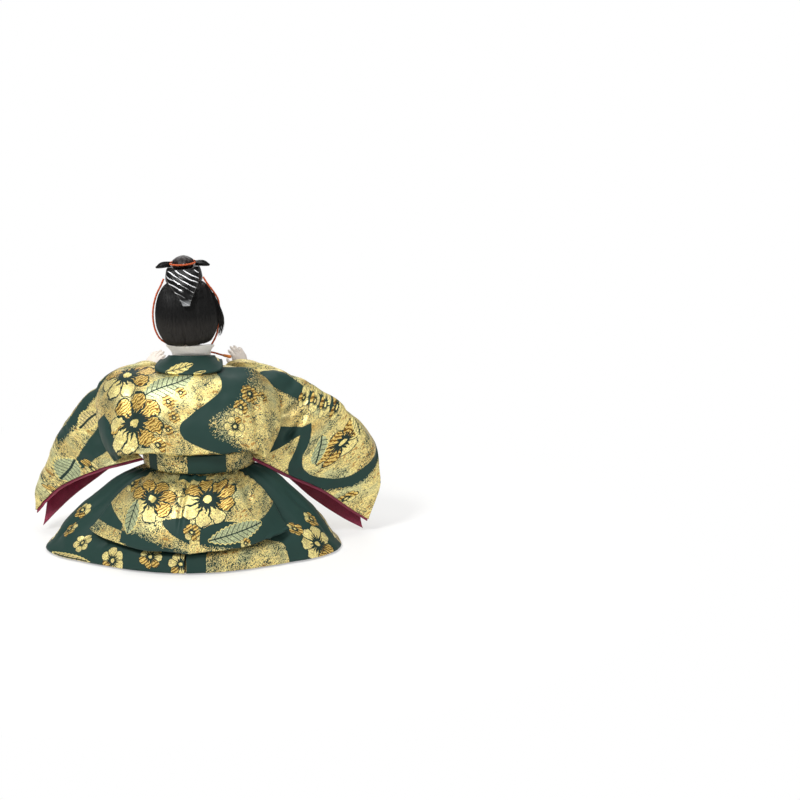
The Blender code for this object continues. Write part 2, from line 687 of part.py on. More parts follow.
# Hair: height, half width, half depth and centre's depth of its outer face.
hair_shares = [
    (0.155, 0.228, 0.286, 0.00), (0.190, 0.254, 0.322, 0.00), (0.240, 0.280, 0.343, 0.00),
    (0.320, 0.306, 0.356, 0.00), (0.420, 0.311, 0.354, 0.004), (0.520, 0.300, 0.336, 0.008),
    (0.620, 0.270, 0.302, 0.012), (0.700, 0.224, 0.252, 0.012), (0.752, 0.168, 0.188, 0.010),
]
hair_inner_least = 0.19   # below the jaw the hair hangs clear of the neck
hair_inner_top = 0.25


def hair_piece(name, start, end, low, high, columns, rows):
    """A lock of the bob: a curved slab between two bearings about the head's axis."""
    outer = [Vector(row) for row in hair_shares]
    frame = head_frame()
    rings = []
    for j in range(rows + 1):
        share = low + (high - low) * j / rows
        height, half_width, half_depth, centre = along(outer, share)
        inner = table_row(head_shares, height)
        clear = (HAIR_GAP + SLACK) / HEAD_SIZE
        outside, inside = [], []
        for i in range(columns + 1):
            a = math.radians(start + (end - start) * i / columns)
            outside.append((half_width * math.cos(a), half_depth * math.sin(a) + centre))
            least = hair_inner_least if height < hair_inner_top else 0.0
            inner_width = max(inner[1], least) + clear
            inner_depth = max(inner[2], least) + clear
            inside.append((inner_width * math.cos(a), inner_depth * math.sin(a) + inner[3]))
        ring = outside + inside[::-1]
        rings.append([frame @ (Vector((x, y, height)) * HEAD_SIZE) for x, y in ring])
    stacked(name, rings, (0.012, 0.012, 0.014), roughness=0.35)


def hair():
    hair_piece("hair_back", 7, 173, 0.0, 1.0, 16, 10)
    hair_piece("hair_side_left", -34, 5, 0.03, 1.0, 4, 10)
    hair_piece("hair_side_right", 175, 214, 0.03, 1.0, 4, 10)
    hair_piece("hair_fringe", 216, 324, 0.66, 1.0, 12, 4)


# Hat: height, half width and half depth, as shares of HEAD_SIZE.
cap_shares = [
    (0.760, 0.182, 0.200), (0.790, 0.185, 0.202), (0.840, 0.178, 0.194), (0.880, 0.168, 0.182),
    (0.898, 0.155, 0.168),
]
crown_shares = [
    (0.905, 0.104, 0.126, 0.000), (0.940, 0.106, 0.125, 0.000), (0.970, 0.092, 0.104, -0.010),
    (0.992, 0.058, 0.068, -0.020), (1.004, 0.022, 0.030, -0.026),
]
bag_shares = [  # centre, half width and half thickness
    ((0.004, 0.252, 0.862), 0.164, 0.042), ((0.000, 0.286, 0.815), 0.152, 0.050),
    ((-0.020, 0.318, 0.750), 0.120, 0.050), ((-0.034, 0.348, 0.680), 0.080, 0.042),
    ((-0.042, 0.372, 0.618), 0.050, 0.034), ((-0.046, 0.384, 0.575), 0.034, 0.022),
]
wing_shares = [
    [(0.146, 0.020, 0.909), (0.150, 0.026, 0.932), (0.146, 0.020, 0.955)],
    [(0.206, 0.032, 0.904), (0.208, 0.040, 0.930), (0.204, 0.032, 0.952)],
    [(0.264, 0.030, 0.904), (0.270, 0.034, 0.910), (0.262, 0.030, 0.917)],
]
peak_shares = [
    [(-0.120, -0.176, 0.800), (0.000, -0.215, 0.800), (0.120, -0.176, 0.800)],
    [(-0.100, -0.188, 0.860), (0.000, -0.222, 0.860), (0.100, -0.188, 0.860)],
    [(-0.030, -0.212, 0.925), (0.000, -0.218, 0.930), (0.030, -0.212, 0.925)],
]


def head_net(table, mirror=1):
    return net([[head_point((x * mirror, y, z)) for x, y, z in row] for row in table])


def hat():
    black = (0.012, 0.012, 0.013)
    frame = head_frame()
    rings = [
        ellipse(Vector((0, 0, z)) * HEAD_SIZE, w * HEAD_SIZE, d * HEAD_SIZE, 28, frame)
        for z, w, d in cap_shares
    ]
    stacked("hat_cap", rings, black, roughness=0.3)
    rings = [
        ellipse(Vector((0, y, z)) * HEAD_SIZE, w * HEAD_SIZE, d * HEAD_SIZE, 20, frame)
        for z, w, d, y in crown_shares
    ]
    stacked("hat_crown", rings, black, roughness=0.3)
    rings = []
    centres = [Vector(c) for c, _, _ in bag_shares]
    sizes = [Vector((w, t, 0)) for _, w, t in bag_shares]
    steps = 11
    for j in range(steps + 1):
        centre, size = along(centres, j / steps), along(sizes, j / steps)
        ahead = along(centres, min(1, j / steps + 0.02)) - along(centres, max(0, j / steps - 0.02))
        up = Vector((1, 0, 0)).cross(ahead.normalized())
        ring = []
        for i in range(16):
            a = math.tau * i / 16
            p = centre + Vector((math.cos(a) * size.x, 0, 0)) + up * math.sin(a) * size.y
            ring.append(head_point(p))
        rings.append(ring)
    stacked("hat_bag", rings, black, roughness=0.15)
    sheet("hat_wing_left", head_net(wing_shares), 5, 4, HAT_PLATE, black, side=1)
    sheet("hat_wing_right", head_net(wing_shares, -1), 5, 4, HAT_PLATE, black, side=-1)
    sheet("hat_peak", head_net(peak_shares), 8, 5, HAT_PLATE, black, side=-1)


# Cords

left_cord_route = [
    (0.196, 0.050, 0.795), (0.232, 0.046, 0.725), (0.280, 0.040, 0.640), (0.316, 0.030, 0.540),
    (0.336, 0.018, 0.430), (0.334, 0.004, 0.320), (0.316, -0.014, 0.235), (0.282, -0.040, 0.165),
    (0.220, -0.110, 0.105), (0.125, -0.190, 0.055), (0.000, -0.238, 0.012), (-0.100, -0.246, -0.014),
]
right_cord_route = [
    (-0.196, 0.050, 0.795), (-0.232, 0.046, 0.725), (-0.282, 0.020, 0.640), (-0.318, -0.050, 0.540),
    (-0.316, -0.120, 0.430), (-0.304, -0.160, 0.320), (-0.286, -0.170, 0.235), (-0.262, -0.180, 0.155),
    (-0.222, -0.195, 0.080), (-0.172, -0.222, 0.010),
]
tail_route = [
    (-0.172, -0.222, -0.026), (-0.235, -0.165, -0.028), (-0.310, -0.100, -0.038), (-0.400, -0.045, -0.050),
]
chin_knot_share = (-0.138, -0.244, -0.020)


def route(shares, step):
    """Evenly spaced points on the smooth curve through a cord's own points."""
    points = [head_point(share) for share in shares]
    fine = [along(points, i / 400) for i in range(401)]
    length = sum((b - a).length for a, b in zip(fine, fine[1:]))
    count = max(2, round(length / step))
    kept, run, target = [fine[0]], 0.0, length / count
    for a, b in zip(fine, fine[1:]):
        run += (b - a).length
        if run >= target * len(kept) and len(kept) < count:
            kept.append(b)
    return kept + [fine[-1]]


def cords():
    orange = (0.80, 0.14, 0.03)
    step = CORD_RADIUS * 5
    frame = head_frame()
    rim = Vector((0.116, 0.136, 0.930)) * HEAD_SIZE
    ring = ellipse(
        Vector((0, 0, rim.z + CORD_RADIUS)), rim.x + CORD_RADIUS, rim.y + CORD_RADIUS, 22, frame
    )
    cord("hat_cord", ring, CORD_RADIUS, orange, closed=True)
    cord("chin_cord_left", route(left_cord_route, step), CORD_RADIUS, orange)
    cord("chin_cord_right", route(right_cord_route, step), CORD_RADIUS, orange)
    path = route(tail_route, step)
    count = len(path) - 1
    radii = [CORD_RADIUS if i < count - 1 else TAIL_END_RADIUS for i in range(count + 1)]
    stacked("cord_tail", rings_along(path, radii, 8), orange)
    bm = bmesh.new()
    place = Matrix.Translation(head_point(chin_knot_share))
    bmesh.ops.create_uvsphere(bm, u_segments=12, v_segments=8, radius=CHIN_KNOT_RADIUS, matrix=place)
    add_mesh("chin_knot", bm, orange)


clear_scene()
base_board()
body_core()
arms()
leg_roll("left_leg_roll", 1)
leg_roll("right_leg_roll", -1)
trousers()
waist_band()
jacket()
collars()
sleeves()
hand("left_hand", left_arm_shares, math.radians(200), 1)
hand("right_hand", right_arm_shares, math.radians(160), -1)
head()
hair()
hat()
cords()
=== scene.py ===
# A seated court-musician hina doll in green and gold brocade, seen from behind as in the photograph.
# Metres, +Z up; the face looks along -Y. The cloth tables below are in millimetres.
import json
import math

import bmesh
import bpy
from mathutils import Matrix, Vector, noise

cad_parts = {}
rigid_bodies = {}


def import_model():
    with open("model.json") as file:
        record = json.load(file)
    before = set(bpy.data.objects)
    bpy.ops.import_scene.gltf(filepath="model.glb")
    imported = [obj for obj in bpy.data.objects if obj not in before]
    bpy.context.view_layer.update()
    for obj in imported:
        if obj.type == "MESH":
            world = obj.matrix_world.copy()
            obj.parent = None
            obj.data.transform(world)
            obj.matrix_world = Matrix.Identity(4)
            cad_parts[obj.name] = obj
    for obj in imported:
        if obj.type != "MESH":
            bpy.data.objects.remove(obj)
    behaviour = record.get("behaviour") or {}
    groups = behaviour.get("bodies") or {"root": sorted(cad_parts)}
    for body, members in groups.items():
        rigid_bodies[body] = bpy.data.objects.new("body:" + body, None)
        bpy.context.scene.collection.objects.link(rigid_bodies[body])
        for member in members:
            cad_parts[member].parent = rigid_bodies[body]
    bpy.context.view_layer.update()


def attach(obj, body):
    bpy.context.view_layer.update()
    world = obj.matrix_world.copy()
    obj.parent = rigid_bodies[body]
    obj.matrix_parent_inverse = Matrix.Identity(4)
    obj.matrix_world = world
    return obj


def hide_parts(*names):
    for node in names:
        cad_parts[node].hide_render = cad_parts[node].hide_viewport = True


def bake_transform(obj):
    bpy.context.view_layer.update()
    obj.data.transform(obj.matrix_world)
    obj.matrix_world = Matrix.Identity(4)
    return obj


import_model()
print("frame loaded")

mm = 0.001
scene = bpy.context.scene
scene.view_settings.view_transform = "Standard"
colourMix = {"out": 2, "data_type": "RGBA"}   # a Mix node's settings for colours, whose inputs are 0, 6 and 7


def hexLinear(code):
    channels = [int(code[i:i + 2], 16) / 255 for i in (1, 3, 5)]
    return (*[c / 12.92 if c <= 0.04045 else ((c + 0.055) / 1.055) ** 2.4 for c in channels], 1.0)


def fill(node, inputs):
    # an input gets a value, or a link where another node's output is given
    for key, value in inputs.items():
        if isinstance(value, bpy.types.NodeSocket):
            node.id_data.links.new(value, node.inputs[key])
        else:
            node.inputs[key].default_value = value


def put(tree, kind, *inputs, out=0, **settings):
    # adds a node with its settings and links, and gives back one of its outputs; the inputs come in the
    # order of the node's sockets, or as one dictionary
    node = tree.nodes.new("ShaderNode" + kind)
    for key, value in settings.items():
        setattr(node, key, value)
    fill(node, inputs[0] if inputs and isinstance(inputs[0], dict) else dict(enumerate(inputs)))
    return node.outputs[out]


def newMaterial(name):
    material = bpy.data.materials.new(name)
    material.use_nodes = True
    tree = material.node_tree
    return material, tree, tree.nodes["Principled BSDF"]


def newItem(name, data):
    item = bpy.data.objects.new(name, data)
    scene.collection.objects.link(item)
    return item


def meshPiece(name, bm):
    mesh = bpy.data.meshes.new(name)
    bm.to_mesh(mesh)
    bm.free()
    mesh.shade_smooth()
    return newItem(name, mesh)


# camera, floor and lights

view = {
    "place": (-0.104652, 1.049950, 0.335801),
    "tilt": 76.0,          # degrees; it looks 14 degrees down
    "lens": 96.491,
    "lampsAim": Vector((0, 0, 0.06)),
    "floorHalf": 4.0,      # metres from the doll to the floor's edge
    "floorColour": "#FAF9F6",
    "floorGlow": 0.45,     # how far the paper already brightens under the doll
    "shadowReach": (0.06, 0.26),
    "worldStrength": 0.30,
}
white = hexLinear("#FFFFFF")
camera = newItem("camera", bpy.data.cameras.new("camera"))
camera.location = view["place"]
camera.rotation_euler = (math.radians(view["tilt"]), 0, math.radians(180))
camera.data.lens = view["lens"]
camera.data.clip_start = 0.01
scene.camera = camera

world = bpy.data.worlds.new("studio")
world.use_nodes = True
scene.world = world
tree = world.node_tree
tree.nodes.clear()
path = put(tree, "LightPath").node
seen = put(tree, "Math", path.outputs["Is Camera Ray"], path.outputs["Is Transmission Ray"],
           operation="MAXIMUM")
strength = put(tree, "MapRange", {0: seen, 3: view["worldStrength"], 4: 1.0})
glow = put(tree, "Background", white, strength)
tree.links.new(glow, tree.nodes.new("ShaderNodeOutputWorld").inputs["Surface"])

lamps = [  # name, place, size, power
    ("keyLamp", (0.40, 0.70, 0.90), 0.25, 8.2),
    ("fillLamp", (-0.75, 0.60, 0.50), 0.8, 1.4),
    ("topLamp", (0.0, 0.05, 1.00), 0.6, 3.6),
    ("frontLamp", (0.1, -0.9, 0.7), 0.8, 3.2),
]
for name, place, size, power in lamps:
    lamp = newItem(name, bpy.data.lights.new(name, "AREA"))
    lamp.data.size = size
    lamp.data.energy = power
    lamp.location = place
    lamp.rotation_euler = (view["lampsAim"] - Vector(place)).to_track_quat("-Z", "Y").to_euler()

bm = bmesh.new()
bmesh.ops.create_grid(bm, x_segments=2, y_segments=2, size=view["floorHalf"])
floor = meshPiece("floor", bm)
floorPaper, tree, shader = newMaterial("paperBackdrop")   # matt paper, with no shine under the lamps
fill(shader, {"Base Color": hexLinear(view["floorColour"]), "Roughness": 0.9})
# to the camera the paper brightens to plain white away from the doll, as in an overexposed studio shot
away = put(tree, "VectorMath", put(tree, "TexCoord", out=3), out=1, operation="LENGTH")
share = put(tree, "MapRange", away, *view["shadowReach"], view["floorGlow"], 1.0)
seen = put(tree, "LightPath").node.outputs["Is Camera Ray"]
share = put(tree, "Math", share, seen, operation="MULTIPLY")
both = put(tree, "MixShader", share, shader.outputs[0], put(tree, "Emission", white, 1.0))
tree.links.new(both, tree.nodes["Material Output"].inputs["Surface"])
floor.data.materials.append(floorPaper)
print("stage set")


# smooth surfaces through tables of points

def along(points, t):
    # the place at t, from 0 to 1, on the smooth curve through evenly spaced points
    spans = len(points) - 1
    at = min(max(t, 0.0), 1.0) * spans
    i = min(int(at), spans - 1)
    f = at - i
    b, c = points[i], points[i + 1]
    a = points[i - 1] if i > 0 else 2 * b - c
    d = points[i + 2] if i + 2 <= spans else 2 * c - b
    bend = 3 * b - a - 3 * c + d
    return 0.5 * (2 * b + (c - a) * f + (2 * a - 5 * b + 4 * c - d) * f ** 2 + bend * f ** 3)


def sheetOf(net):
    # the surface through a net of points: u runs along its rows and v from row to row
    def place(u, v):
        return along([along(row, u) for row in net], v)

    return place


def surfaceOf(rows):
    return sheetOf([[Vector(p) * mm for p in row] for row in rows])


def smoothStep(low, high, x):
    t = min(max((x - low) / (high - low), 0.0), 1.0)
    return t * t * (3 - 2 * t)


def swell(x, middle, width):
    # 1 at the middle, fading to nothing on both sides
    return math.exp(-((x - middle) / width) ** 2)


def crease(s, t, line):
    # how deep a soft fold line is at the cloth's own place s, t; a line is x1, y1, x2, y2, width, depth
    x1, y1, x2, y2, width, depth = line
    dx, dy = x2 - x1, y2 - y1
    share = ((s - x1) * dx + (t - y1) * dy) / (dx * dx + dy * dy)
    near = min(max(share, 0.0), 1.0)
    away = math.hypot(s - x1 - near * dx, t - y1 - near * dy)
    return depth * swell(away, 0, width) * smoothStep(-0.05, 0.25, share) * smoothStep(1.05, 0.75, share)


sheets = []


def dress(piece, body, slot, material, node=None, held=None):
    # the piece's material, the body it rides on, its slot (not used), the CAD node it replaces, and how cloth
    # is held
    piece.data.materials.append(material)
    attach(piece, body)
    if node:
        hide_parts(node)
    if held:
        sheets.append((piece, held))


def markPoints(piece, attribute, valueAt):
    # a vector for each point of a finished mesh, for its material to read
    marks = piece.data.attributes.new(attribute, "FLOAT_VECTOR", "POINT")
    for v, mark in zip(piece.data.vertices, marks.data):
        mark.vector = valueAt(v.co)


def runOf(places):
    # the running length in millimetres from the first place to each one
    run = [0.0]
    for a, b in zip(places, places[1:]):
        run.append(run[-1] + (b - a).length / mm)
    return run


wrinkle = {  # the soft unevenness of all cloth
    "broad": 11, "fine": 4.5,    # mm from one rise to the next
    "fineShare": 0.35,
}


def clothPiece(name, place, spec, layout=None):
    # a sheet of cloth on a smooth surface: its outer face is the surface with the folds on it,
    # and the attribute clothMm holds its flat cutting layout in millimetres
    across, down = spec["across"], spec["down"]
    bm = bmesh.new()
    bmesh.ops.create_grid(bm, x_segments=across, y_segments=down, size=0.5)
    flat = bm.verts.layers.float_vector.new("clothMm")
    index = {}
    for v in bm.verts:
        i, j = round((v.co.x + 0.5) * across), round((v.co.y + 0.5) * down)
        index[i, j] = v
        v.co = place(i / across, j / down)
    lengths = {}
    for j in range(down + 1):   # widths are counted from the middle, gathered cloth's all from its first row
        run = runOf([index[i, j].co for i in range(across + 1)])
        start = along(run, 0.5)
        for i in range(across + 1):
            lengths[i, j] = [lengths[i, 0][0] if j and spec.get("gather") else run[i] - start, 0.0]
    for i in range(across + 1):
        for j, t in enumerate(runOf([index[i, j].co for j in range(down + 1)])):
            lengths[i, j][1] = t
    bmesh.ops.recalc_face_normals(bm, faces=bm.faces[:])
    bm.normal_update()
    if index[across // 2, down // 2].normal.dot(Vector(spec["outward"])) < 0:
        bmesh.ops.reverse_faces(bm, faces=bm.faces[:])
        bm.normal_update()
    normals = {key: v.normal.copy() for key, v in index.items()}
    folds, soft, seed = spec.get("folds"), spec["soft"], spec.get("seed", 0.0)
    for (i, j), v in index.items():
        s, t = lengths[i, j]
        if layout:
            s, t = layout(s, t)
        v[flat] = (s, t, 0)
        lift = -spec.get("inset", 0.0)
        lift += soft * noise.noise(Vector((s / wrinkle["broad"], t / wrinkle["broad"], seed)))
        fine = noise.noise(Vector((s / wrinkle["fine"], t / wrinkle["fine"], seed + 7)))
        lift += wrinkle["fineShare"] * soft * fine
        for line in spec.get("creases", ()):
            lift -= spec.get("deep", 1.0) * crease(s, t, line)
        if folds:
            lift += folds(i / across, j / down, s, t)
        v.co += normals[i, j] * lift * mm
    item = meshPiece(name, bm)
    solid = item.modifiers.new("thickness", "SOLIDIFY")
    solid.thickness = spec["thickness"] * mm
    solid.offset = -1.0
    solid.use_rim = True
    return item


# where the figures fall on each cloth, in millimetres of its layout, with angles in degrees: green streams
# with a crisp and a dusted side, then flowers (place, radius, petals, turn, share of hatched petals) and
# leaves (place, length, width, turn, tone)

jacketStreams = [
    {"origin": (0, 0), "turn": 90, "length": 52, "half": 34, "fade": (15, 0.3),
     "low": [(0, -28), (7.4, -29.1), (11.5, -28.7), (16.4, -27.2), (20, -25.2), (26, -21.4), (29, -17),
             (31, -13), (33, -10.6), (35.5, -10.1), (39.4, -11.1), (43.7, -15), (46.8, -21.4), (52, -31)],
     "high": [(0, -12.5), (4.9, -13.9), (10.6, -15.9), (15.1, -17), (18.7, -16.7), (21, -14.6), (24.2, -10),
              (26.8, -5.2), (29.9, -1.3), (33, 2.1), (36.6, 3.1), (39.8, 1.8), (42.2, -1.3), (44.7, -5.2),
              (47.9, -10), (52, -18)]},
    {"origin": (0, 24), "turn": 90, "length": 40, "half": 64, "fade": (0.3, 0.3),
     "low": [(0, 46), (8, 41), (20, 38), (30, 33), (40, 28)], "high": [(0, 60), (40, 60)]},
]
jacketMotifs = [
    ("flower", -32, 6.5, 15, 8, 30, 0.4), ("leaf", -23, 24, 31, 5.6, -32, "leafGreen"),
    ("flower", -9, 24, 3.4, 6, 10, 1.0), ("flower", -3, 18, 3.0, 5, 40, 0.8),
    ("flower", -6, 31, 3.2, 6, 70, 1.0), ("flower", -9, 38, 2.8, 5, 20, 0.8),
    ("flower", -26.5, 35.2, 15.6, 8, 12, 0.5), ("flower", -14, 47, 4.4, 6, 50, 0.5),
    ("flower", 31.5, 18.8, 5.2, 9, 0, 1.0), ("flower", 27, 27, 4.0, 8, 20, 0.9),
    ("flower", 24, 37, 5.6, 6, 33, 0.1), ("flower", 39, 17.5, 3.0, 7, 60, 0.9),
]
collarMotifs = [
    ("leaf", -2.4, 0.2, 13, 3.4, 28, "brightGold"), ("leaf", 12, 0.3, 6.0, 1.1, 8, "brightGold"),
    ("leaf", -34, 3, 12, 2.6, 20, "brightGold"), ("leaf", 36, 3, 12, 2.6, 160, "brightGold"),
    ("flower", -58, 5, 5.0, 7, 0, 0.5),
]
bandStreams = [
    {"origin": (0, -2), "turn": 90, "length": 14, "half": 40, "fade": (0.3, 0.5),
     "low": [(0, -3.9), (14, -3.6)], "high": [(0, 15.2), (14, 15.8)]},
    {"origin": (0, -2), "turn": 90, "length": 14, "half": 40, "fade": (0.3, 0.5),
     "low": [(0, -28), (14, -27)], "high": [(0, -21.6), (14, -21)]},
]
seatStreams = [
    {"origin": (8, 0), "length": 54, "half": 70, "fade": (0.3, 3),
     "low": [(0, 40), (9, 36), (17, 36), (25, 37.5), (34, 36), (42, 31), (54, 20)],
     "high": [(0, 46), (12, 48), (24, 49.5), (34, 52), (54, 60)]},
    {"origin": (-11, 0), "length": 14, "half": 70, "fade": (0.3, 0.6),
     "low": [(0, 36), (14, 33)], "high": [(0, 38), (6, 43), (14, 47)]},
    {"origin": (-58, 0), "length": 24, "half": 70, "fade": (0.3, 0.3),
     "low": [(0, 28), (24, 41)], "high": [(0, 42), (24, 44.5)]},
    {"origin": (-34, 0), "length": 36, "half": 70, "fade": (5, 0.3),
     "low": [(0, 45), (10, 46), (24, 50), (36, 53)], "high": [(0, 50), (36, 60)]},
    {"origin": (-8, 0), "length": 14, "half": 70, "fade": (0.3, 0.3),
     "low": [(0, 4), (14, 6)], "high": [(0, 9), (14, 10)]},
]
seatMotifs = [
    ("flower", -18.8, 25, 13.5, 7, 40, 0.5), ("flower", 10, 23.6, 15.5, 9, 5, 0.45),
    ("leaf", -27, 27, 19, 4.4, 100, "leafGreen"), ("leaf", 12, 45, 31, 4.8, -14, "leafGreen"),
    ("flower", -37, 18, 6.5, 7, 20, 0.6), ("flower", 31, 47, 3.0, 6, 0, 0.3),
    ("flower", 4, 41, 4.4, 6, 25, 0.8),
]
leftLegStreams = [
    {"origin": (-125, 0), "length": 104, "half": 80, "fade": (0.3, 6),
     "low": [(0, -10), (104, -10)], "high": [(0, 70), (104, 60)]},
    {"origin": (8, -4), "turn": 52, "length": 84, "half": 40, "fade": (8, 0.3),
     "low": [(0, -9), (20, -2), (40, -10), (62, -4), (84, -8)],
     "high": [(0, 9), (20, 15), (40, 5), (62, 10), (84, 3)]},
]
leftLegMotifs = [
    ("flower", -74, 3.2, 7.0, 6, 10, 0.1), ("flower", -95, 7.4, 6.4, 7, 0, 0.4),
    ("flower", -110.5, 4.7, 6.6, 7, 20, 0.1), ("flower", -33, 27, 5.2, 6, 40, 0.3),
    ("flower", -37, 15, 5.0, 6, 15, 0.6), ("flower", -52, 9.5, 5.6, 6, 55, 0.1),
    ("leaf", -34, 0.6, 27, 2.0, 180, "paleGold"),
]
rightLegStreams = [
    {"origin": (-112, 0), "length": 92, "half": 90, "fade": (0.8, 0.3),
     "low": [(0, -9), (9.2, -9), (9.8, 9), (11, 11), (50, 11.5), (52.4, 9), (53, -9), (92, -9)],
     "high": [(0, 80), (92, 70)]},
    {"origin": (64, -6), "turn": 112, "length": 84, "half": 40, "fade": (0.3, 8),
     "low": [(0, -12), (20, -6), (40, -12), (62, -3), (84, -6)],
     "high": [(0, 6), (20, 12), (40, 3), (62, 9), (84, 5)]},
]
rightLegMotifs = [
    ("flower", -40, 6.5, 10.5, 7, 10, 0.2), ("flower", -34, 20, 5.0, 6, 35, 0.7),
    ("flower", -48, 17, 4.4, 6, 10, 0.6),
]
leftSleeveStreams = [
    {"origin": (40, 0), "turn": 60, "length": 62, "half": 20, "fade": (0.3, 1.5),
     "low": [(0, -1.2), (13, 2.3), (27.5, 3.9), (43, 3.3), (62, -0.9)],
     "high": [(0, 1.9), (11.7, 7.2), (26.3, 8.5), (43.2, 5.3), (62, 1)]},
    {"origin": (31, 28), "turn": 54, "length": 64, "half": 20, "fade": (0.3, 0.3),
     "low": [(0, -5.3), (24.6, -7.7), (64, -12.1)], "high": [(0, 5.6), (26, -2.1), (64, -11.3)]},
]
leftSleeveMotifs = [
    ("flower", 58.3, 59.5, 5.4, 7, 0, 0.2), ("flower", 76.5, 75, 5.6, 7, 30, 0.3),
    ("leaf", 64.4, 57, 25.5, 4.0, 49, "leafGreen"), ("flower", 89.3, 88, 4.6, 6, 10, 0.4),
    ("leaf", 36.7, 22, 23, 3.0, 45, "paleGold"), ("flower", 46, 8, 6.0, 7, 10, 0.4),
    ("leaf", 60, 22, 18, 3.6, 60, "leafGreen"),
]
rightSleeveStreams = [
    {"origin": (-28, -6), "turn": 128, "length": 58, "half": 40, "fade": (1.5, 0.3),
     "low": [(0, -4), (15, -3.4), (30, -2), (45, -0.6), (58, 0.8)],
     "high": [(0, 8), (15, 6), (30, 2.4), (45, 2.4), (58, 2.2)]},
    {"origin": (-36, 34), "turn": 180, "length": 15, "half": 20, "fade": (0.3, 0.3),
     "low": [(0, -8), (7.5, -5), (15, -2.4)], "high": [(0, 6.6), (5.4, 4), (15, -1.2)]},
    {"origin": (5.6, 33), "turn": 90, "length": 42, "half": 90, "fade": (0.3, 0.3),
     "low": [(0, 51.7), (3, 52.9), (10, 53.9), (22, 54), (35.6, 61.5), (42, 66.2)],
     "high": [(0, 56.6), (3, 57.5), (10, 58.8), (22, 59.2), (35.6, 66.6), (42, 72.1)]},
    {"origin": (-56.3, 80), "turn": 180, "length": 46, "half": 40, "fade": (3, 0.3),
     "low": [(0, 11), (3.3, 7.5), (13.8, -4), (20.5, -9), (30.4, -11.5), (40.8, -7.5), (46, -5)],
     "high": [(0, 18), (1.2, 15), (11.5, 3.5), (18.4, -2), (28.5, -4.5), (38.8, -0.5), (46, 2)]},
]
rightSleeveMotifs = [
    ("flower", -47.7, 19.8, 3.8, 5, 0, 0.1), ("flower", -52.9, 25.5, 3.6, 5, 30, 0.3),
    ("flower", -58.5, 31.5, 4.2, 5, 10, 0.1), ("flower", -64.4, 38, 4.0, 5, 50, 0.3),
    ("flower", -70.9, 60, 10.5, 6, 20, 0.7), ("leaf", -59.3, 46, 18, 3.4, 97, "leafGreen"),
    ("leaf", -74.2, 45, 18.7, 3.0, 109, "cream"), ("flower", -87, 101, 4.4, 6, 0, 0.4),
    ("flower", -71, 92, 3.6, 6, 0, 0.5), ("flower", -74, 14, 7.0, 7, 20, 0.4),
]

# brocade patterns: all sizes in millimetres of the cloth's own layout, kept in the attribute clothMm

thread = {name: hexLinear(code) for name, code in {
    "green": "#1B3933",       # satin ground
    "line": "#122C27",        # outlines and stamens
    "paleGold": "#D8C688",
    "brightGold": "#F3DF8E",
    "hatchGold": "#E3C26C",   # between the hatches
    # the browner gold that is laid at random in broad drifts
    "brownGold": "#B08A45",
    "darkGold": "#7A5420",
    "ochre": "#AE7224",
    "leafGreen": "#B4BC92",
    "cream": "#EADB94",
}.items()}


def newGroup(name, inputs):
    # a figure: it takes the cloth's colour and its share of gold, and gives them back with the figure on them
    group = bpy.data.node_groups.new(name, "ShaderNodeTree")
    cloth = (("Colour", "Color"), ("Gold", "Float"))
    for side, sockets in (("INPUT", (("Place", "Vector"), *inputs, *cloth)), ("OUTPUT", cloth)):
        for title, kind in sockets:
            group.interface.new_socket(title, in_out=side, socket_type="NodeSocket" + kind)
    start = group.nodes.new("NodeGroupInput")
    return group, {s.name: s for s in start.outputs if s.name}, group.nodes.new("NodeGroupOutput")


# a flower: ragged petals with dark outlines, some of them hatched, round a star of stamens
flower = {
    "ragged": 0.27,       # of the radius, with this many rags to a millimetre:
    "rags": 0.33,
    "petalPoint": 2.6, "petalCut": -1.5,   # how round the petals are, and how deep the cuts between them
    "gap": 0.03, "rimLine": 0.06,          # dark lines between and round the petals, as shares of the radius
    "hatchSide": 0.93,    # radians from the flower's own turn to the side with the hatched petals
    "hatchSpread": 0.32, "hatchChance": 0.36,
    "hatchLines": (2.5, 3.4, 0), "hatchWidth": 0.25,
    "stamens": 17.0, "stamenCut": -0.50, "stamenReach": 0.53,
    "heart": 0.15,
}
bloom, given, end = newGroup("bloomMotif", (
    ("Heart", "Vector"), ("Radius", "Float"), ("Turn", "Float"), ("Petals", "Float"), ("Hatch", "Float")))
away = put(bloom, "VectorMath", given["Place"], given["Heart"], operation="SUBTRACT")
ragged = put(bloom, "TexNoise", {"Vector": given["Place"], "Scale": flower["rags"], "Detail": 3.0}, out=1)
ragged = put(bloom, "VectorMath", ragged, (0.5, 0.5, 0.5), operation="SUBTRACT")
amount = put(bloom, "Math", given["Radius"], flower["ragged"], operation="MULTIPLY")
ragged = put(bloom, "VectorMath", {0: ragged, "Scale": amount}, operation="SCALE")
away = put(bloom, "VectorMath", away, ragged, operation="ADD")
length = put(bloom, "VectorMath", away, out=1, operation="LENGTH")
r = put(bloom, "Math", length, given["Radius"], operation="DIVIDE")
x, y, z = put(bloom, "SeparateXYZ", away).node.outputs
bearing = put(bloom, "Math", y, x, operation="ARCTAN2")
bearing = put(bloom, "Math", bearing, given["Turn"], operation="ADD")
turns = put(bloom, "Math", bearing, math.tau, operation="DIVIDE")
count = put(bloom, "Math", turns, given["Petals"], operation="MULTIPLY")
petalNumber = put(bloom, "Math", count, operation="FLOOR")
spike = put(bloom, "Math", turns, flower["stamens"], operation="MULTIPLY")
for operation, *others in (("FRACT",), ("SUBTRACT", 0.5), ("ABSOLUTE",)):   # 0 mid-petal, 0.5 between petals
    count = put(bloom, "Math", count, *others, operation=operation)
    spike = put(bloom, "Math", spike, *others, operation=operation)
rim = put(bloom, "Math", count, flower["petalPoint"], operation="POWER")
rim = put(bloom, "Math", rim, flower["petalCut"], 1.0, operation="MULTIPLY_ADD")
